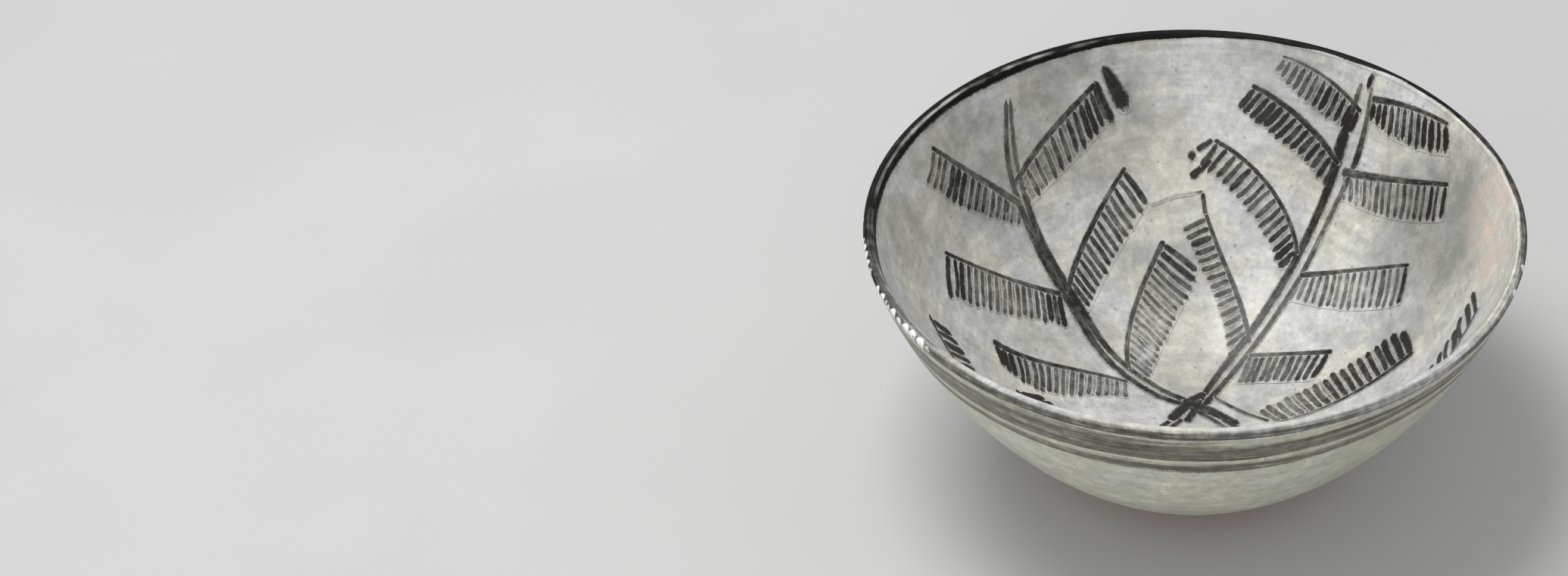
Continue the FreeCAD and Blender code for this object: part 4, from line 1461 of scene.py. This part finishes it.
LOADS = {
    "left_leaf_upper": Load(
        (0.55, 0.90, 0.60), (1.9, 1.6), (3.6, 2.8, 1.9), (0.66, 0.66, 0.80),
        (8, 9, 10), (0.50, 0.40, 0.30), 0.18,
        ((((138.5, 0.715), (141, 0.69)), (3.0, 3.2, 3.4), 0.8),)),
    "left_leaf_middle": Load(
        (0.86, 0.46, 0.95), (1.6, 2.0), (2.6, 1.8, 1.6), (0.85, 0.60, 0.95),
        (0, 2, 15, 17), (0.30, 0.42, 0.34), 0.12),
    "left_leaf_lower": Load(
        (0.50, 0.62, 1.05), (1.6, 1.9), (1.8, 2.1, 3.2), (0.62, 0.80, 1.0),
        (14, 15, 16), (0.42, 0.36, 0.34), 0.12),
    "back_left_leaf_upper": Load(
        (0.58, 0.78, 0.84), (1.7, 2.0), (2.8, 2.8, 2.2), (0.62, 0.78, 0.9),
        (8, 9), (0.42, 0.38, 0.46), 0.14,
        ((((109.0, 0.947), (107.2, 0.893), (104.9, 0.822)), (3.2, 5.8, 8.6), 1.0),
         (((111.0, 0.914), (110.0, 0.864), (108.4, 0.800)), (2.7, 3.4, 4.0), 1.05))),
    "back_left_leaf_middle": Load(
        (0.86, 0.74, 0.66), (1.6, 2.0), (2.6, 2.5, 1.8), (0.92, 0.85, 0.7),
        (15,), (0.38, 0.30, 0.24), 0.18),
    "back_left_leaf_lower": Load(
        (0.48, 0.46, 0.74), (1.5, 1.8), (2.4, 2.2, 2.4), (0.60, 0.62, 0.80),
        (16, 17), (0.42, 0.36, 0.26), 0.08),
    "back_right_leaf_top": Load(
        (1.05, 0.80, 0.45), (1.7, 2.0), (2.0, 1.7, 1.1), (0.9, 0.65, 0.4),
        (0, 1, 4), (0.50, 0.42, 0.18), 0.14),
    "back_right_leaf_upper": Load(
        (0.95, 1.05, 1.1), (1.8, 2.4), (2.6, 2.8, 2.1), (0.9, 0.95, 1.0),
        (9, 10), (0.44, 0.42, 0.40), 0.14),
    "back_right_leaf_middle": Load(
        (0.95, 0.74, 0.88), (1.6, 2.1), (1.9, 1.9, 1.9), (0.85, 0.8, 0.9),
        (0, 1, 10), (0.36, 0.26, 0.20), 0.10,
        ((((86.3, 0.750), (90.0, 0.722)), (2.0, 2.6), 0.9),
         (((90.8, 0.726), (91.3, 0.694)), (3.4, 3.4), 0.9),
         (((86.4, 0.702), (91.4, 0.655)), (2.4, 3.3), 1.1))),
    "back_right_leaf_lower": Load(
        (0.80, 0.72, 0.70), (1.6, 2.1), (2.2, 2.1, 1.7), (0.9, 0.8, 0.65),
        (12,), (0.30, 0.34, 0.20), 0.16,
        ((((87.0, 0.565), (88.2, 0.622)), (2.0, 1.7), 0.66),
         (((101.9, 0.596), (95.3, 0.612), (88.0, 0.624)), (1.2, 1.5, 1.3), 0.30))),
    "right_leaf_top": Load(
        (0.92, 0.74, 1.05), (1.7, 2.1), (3.2, 2.3, 1.7), (0.95, 0.78, 0.85),
        (0, 8, 9, 11), (0.50, 0.44, 0.44), 0.12),
    "right_leaf_upper": Load(
        (0.42, 0.60, 0.98), (1.5, 1.9), (4.2, 2.8, 1.8), (0.66, 0.78, 0.95),
        (13, 15), (0.36, 0.32, 0.30), 0.14),
    "right_leaf_middle": Load(
        (0.58, 0.44, 0.64), (1.5, 1.8), (2.6, 1.8, 1.6), (0.98, 0.60, 0.85),
        (12, 15), (0.22, 0.18, 0.14), 0.14),
    "right_leaf_lower": Load(
        (0.66, 0.70, 0.90), (1.7, 2.1), (2.3, 1.9, 2.4), (0.66, 0.7, 1.0),
        (10,), (0.50, 0.42, 0.30), 0.12),
    "near_right_leaf_lower": Load(
        (0.42, 0.78, 1.05), (1.8, 2.4), (1.3, 2.0, 2.9), (0.4, 0.8, 1.05),
        (14, 15, 16), (0.58, 0.34, 0.22), 0.10),
    "near_right_leaf_upper": Load(
        (0.55, 0.80, 1.05), (1.8, 2.6), (1.6, 1.8, 2.0), (0.6, 0.7, 0.9),
        (14, 16), (0.14, 0.12, 0.10), 0.05),
    "near_left_leaf_middle": Load(
        (0.75, 0.85, 1.05), (2.0, 2.4), (1.7, 1.8, 2.4), (0.6, 0.8, 1.0),
        (15, 17), (0.20, 0.14, 0.12), 0.12),
    "near_left_leaf_lower": Load(
        (0.65, 0.80, 1.05), (1.7, 2.1), (1.7, 1.8, 2.2), (0.6, 0.8, 1.0),
        (9, 10), (0.20, 0.16, 0.14), 0.12),
}

MIRRORED = {
    "near_left_leaf_upper": "left_leaf_upper",
    "near_right_leaf_top": "right_leaf_top",
    "front_left_leaf_upper": "back_left_leaf_upper",
    "front_left_leaf_middle": "back_left_leaf_middle",
    "front_left_leaf_lower": "back_left_leaf_lower",
    "front_right_leaf_top": "back_right_leaf_top",
    "front_right_leaf_upper": "back_right_leaf_upper",
    "front_right_leaf_middle": "back_right_leaf_middle",
    "front_right_leaf_lower": "back_right_leaf_lower",
}


@dataclass
class Decoration:
    """All the painted pieces."""

    wall: Wall

    def rim(self) -> None:
        """Paint the line over the lip."""
        # The rim's paint carries the painted glints: white highlights along the lip's crest.
        paint = DarkSlip("dark_slip_rim", thick="#121211", streak_length=26.0, streak_depth=0.26,
                         wear=0.16, shine=0.08, painted_glints=True)
        RimLine(
            self.wall,
            ink=[(90, 1.25), (60, 1.2), (30, 1.0), (0, 0.85), (-20, 0.5), (-45, 0.32), (-60, 0.40),
                 (-75, 0.50), (-90, 0.58), (-105, 0.52), (-123, 0.52), (-145, 0.56), (-165, 0.92),
                 (180, 1.2), (150, 1.1), (120, 1.15)],
            top=[(90, 1.0), (45, 1.0), (0, 0.8), (-30, 0.5), (-60, 0.3), (-90, 0.25), (-120, 0.3),
                 (-145, 0.5), (-165, 0.9), (180, 1.0), (150, 1.0)],
            split=[(180, 0.2), (165, 0.9), (150, 1.5), (130, 1.4), (115, 0.3), (90, 0.0), (0, 0.0),
                   (-90, 0.0), (-150, 0.3)],
            inside=[(180, 3.0), (150, 2.8), (130, 3.2), (115, 2.7), (100, 1.3), (90, 0.2),
                    (75, -0.6), (60, -1.2), (30, -1.6), (0, -1.5), (-30, -1.4), (-60, -0.6),
                    (-90, 0.5), (-115, 0.8), (-135, 1.8), (-160, 2.8)],
            outside=[(90, 86.0), (0, 85.8), (-60, 84.6), (-90, 84.2), (-120, 84.8), (-150, 85.6),
                     (180, 86.0)]).build(paint.build())

    def bands(self) -> None:
        """Paint the two bands outside."""
        paint = DarkSlip("dark_slip_bands", OUTSIDE_SLIP, thick="#3A3A34", thin="#77776C",
                         streak_length=30.0, streak_depth=0.30, wear=0.16).build()
        # The thin paint over the thin band ends at the foot of the wide one.
        wide_foot = [(-90, 72.5), (-75, 72.0), (-105, 73.0), (-123, 72.2), (-54, 76.8), (-30, 75.8),
                     (0, 74.3), (90, 73.3), (180, 73.8), (-150, 72.8)]
        OuterBand(
            self.wall, "wide_outer_band",
            top=[(-90, 80.9), (-75, 80.5), (-105, 82.4), (-123, 83.4), (-54, 83.2), (-30, 82.0),
                 (0, 81.5), (90, 81.0), (180, 82.5), (-150, 83.0)],
            foot=wide_foot,
            ink=[(-90, 0.70), (-60, 0.66), (-120, 0.62), (0, 0.5), (180, 0.5), (90, 0.55)],
            crown=[(-90, 84.9), (-60, 85.2), (-120, 85.2), (0, 86.0), (90, 86.2), (180, 86.2),
                   (-150, 85.8)],
            haze=[(-90, 0.18), (-72, 0.20), (-107, 0.90), (-123, 0.05), (-140, 0.1), (-54, 0.12),
                  (-30, 0.08), (0, 0.06), (90, 0.06), (180, 0.12)],
            split=[(-90, 0.0), (-60, 0.30), (-125, 0.10), (180, 0.2), (90, 0.2)]).build(paint)
        OuterBand(
            self.wall, "thin_outer_band",
            top=[(-90, 69.7), (-75, 70.2), (-105, 71.1), (-123, 71.2), (-54, 75.2), (-30, 72.7),
                 (0, 70.7), (90, 69.7), (180, 70.2), (-150, 70.2)],
            foot=[(-90, 64.4), (-75, 65.4), (-105, 66.4), (-123, 67.3), (-54, 71.8), (-30, 69.3),
                  (0, 66.8), (90, 65.6), (180, 66.3), (-150, 66.3)],
            ink=[(-90, 0.68), (-60, 0.56), (-120, 0.60), (0, 0.45), (180, 0.5), (90, 0.5)],
            crown=wide_foot,
            haze=[(-90, 0.26), (-60, 0.30), (-120, 0.24), (0, 0.12), (90, 0.10), (180, 0.14)],
            stray=0.5, seed=31.0).build(paint)

    def sprays(self) -> None:
        """Paint the stems and their leaves."""
        paint = DarkSlip().build()
        brush = Brush(self.wall)
        for stem in STEMS:
            stem.build(brush, paint)
        for seed, (name, (strokes, spine, hem)) in enumerate(LEAVES.items(), start=1):
            Leaf(name, strokes, spine, hem, LOADS[name], seed).build(brush, paint)
        for seed, (name, source) in enumerate(MIRRORED.items(), start=40):
            strokes, spine, hem = LEAVES[source]
            Leaf(name, strokes, [(-t, s) for t, s in spine], [(-t, s) for t, s in hem],
                 replace(LOADS[source], drops=()), seed).build(brush, paint)


# Studio


@dataclass
class Studio:
    """The camera, the paper floor and the soft light."""

    elevation: float = 38.53
    roll: float = 1.15
    distance: float = 1.1
    focal: float = 4814.0
    frame: Place = (2071.0, 761.0)
    axis: Place = (1567.0, 381.0)
    offset: Place = (2.3, 20.7)
    aim: float = 86.9
    middle: float = 0.05
    daylight: float = 0.62

    def camera(self) -> None:
        """Set the camera at the angle from which the bowl is seen."""
        lift, roll = math.radians(self.elevation), math.radians(self.roll)
        back = Vector((0, -math.cos(lift), math.sin(lift)))
        right = Vector((1, 0, 0))
        up = back.cross(right)
        spot = (back * self.distance + Vector((0, 0, self.aim)) * MM
                - right * self.offset[0] * MM - up * self.offset[1] * MM)
        sideways = right * math.cos(roll) + up * math.sin(roll)
        upright = up * math.cos(roll) - right * math.sin(roll)
        data = bpy.data.cameras.new("camera")
        data.sensor_width = 36.0
        data.lens = 36.0 * self.focal / self.frame[0]
        data.shift_x = (self.frame[0] / 2 - self.axis[0]) / self.frame[0]
        data.shift_y = (self.axis[1] - self.frame[1] / 2) / self.frame[0]
        camera = bpy.data.objects.new("camera", data)
        turned = Matrix((sideways, upright, back)).transposed().to_4x4()
        camera.matrix_world = Matrix.Translation(spot) @ turned
        bpy.context.scene.collection.objects.link(camera)
        bpy.context.scene.camera = camera

    def lamp(self, name: str, spot: Three, size: float, power: float) -> None:
        """Hang a square soft lamp that faces the bowl.

        Args:
            name: the lamp's name.
            spot: its place, in metres.
            size: its side, in metres.
            power: its power in watts.
        """
        data = bpy.data.lights.new(name, "AREA")
        data.size = size
        data.energy = power
        lamp = bpy.data.objects.new(name, data)
        lamp.location = spot
        away = Vector(spot) - Vector((0, 0, self.middle))
        lamp.rotation_euler = away.to_track_quat("Z", "Y").to_euler()
        bpy.context.scene.collection.objects.link(lamp)

    def floor(self) -> None:
        """Lay the grey paper that the bowl stands on."""
        bpy.ops.object.select_all(action="DESELECT")
        bpy.ops.mesh.primitive_plane_add(size=6.0, location=(0, 0, 0))
        floor = bpy.context.object
        floor.name = floor.data.name = "paper_floor"
        mat = Finish("grey_paper")
        cloud = mat.add("TexNoise", {"Vector": mat.here, "Scale": 1 / 90, "Detail": 2.0})
        colour = mat.add("Mix", {SHARE: cloud, UNDER: linear("#B4B4B4"), OVER: linear("#BABABA")}, **TINT)
        grain = mat.add("TexNoise", {"Vector": mat.here, "Scale": 0.5})
        floor.data.materials.append(mat.close(colour, 0.9, grain, 0.02, 0.0, 0.1))

    def build(self) -> None:
        """Set up everything round the bowl."""
        self.camera()
        self.floor()
        self.lamp("key", (-0.36, 0.10, 1.25), 0.6, 13.5)
        self.lamp("front_fill", (-0.3, -1.65, 0.6), 1.2, 8.5)
        world = bpy.data.worlds.new("studio")
        world.use_nodes = True
        world.node_tree.nodes["Background"].inputs[0].default_value = (1, 1, 1, 1)
        world.node_tree.nodes["Background"].inputs[1].default_value = self.daylight
        bpy.context.scene.world = world
        bpy.context.scene.view_settings.view_transform = "Standard"


def main() -> None:
    """Build the studio, the coats, the painted pieces and the bare clay in order."""
    logging.basicConfig(level=logging.INFO, format="%(name)s %(message)s")
    Studio().build()
    wall = Wall()
    coats = SlipCoats(wall)
    coats.inside(PaleSlip().build())
    coats.outside(OUTSIDE_SLIP.build())
    decoration = Decoration(wall)
    decoration.rim()
    decoration.bands()
    decoration.sprays()
    body = frame["nodes"]["clay_body"]
    body.data.materials.clear()
    body.data.materials.append(BareClay().build())
    LOG.info("clay_body: the thrown clay, %d faces", len(body.data.polygons))


if __name__ == "__main__":
    main()
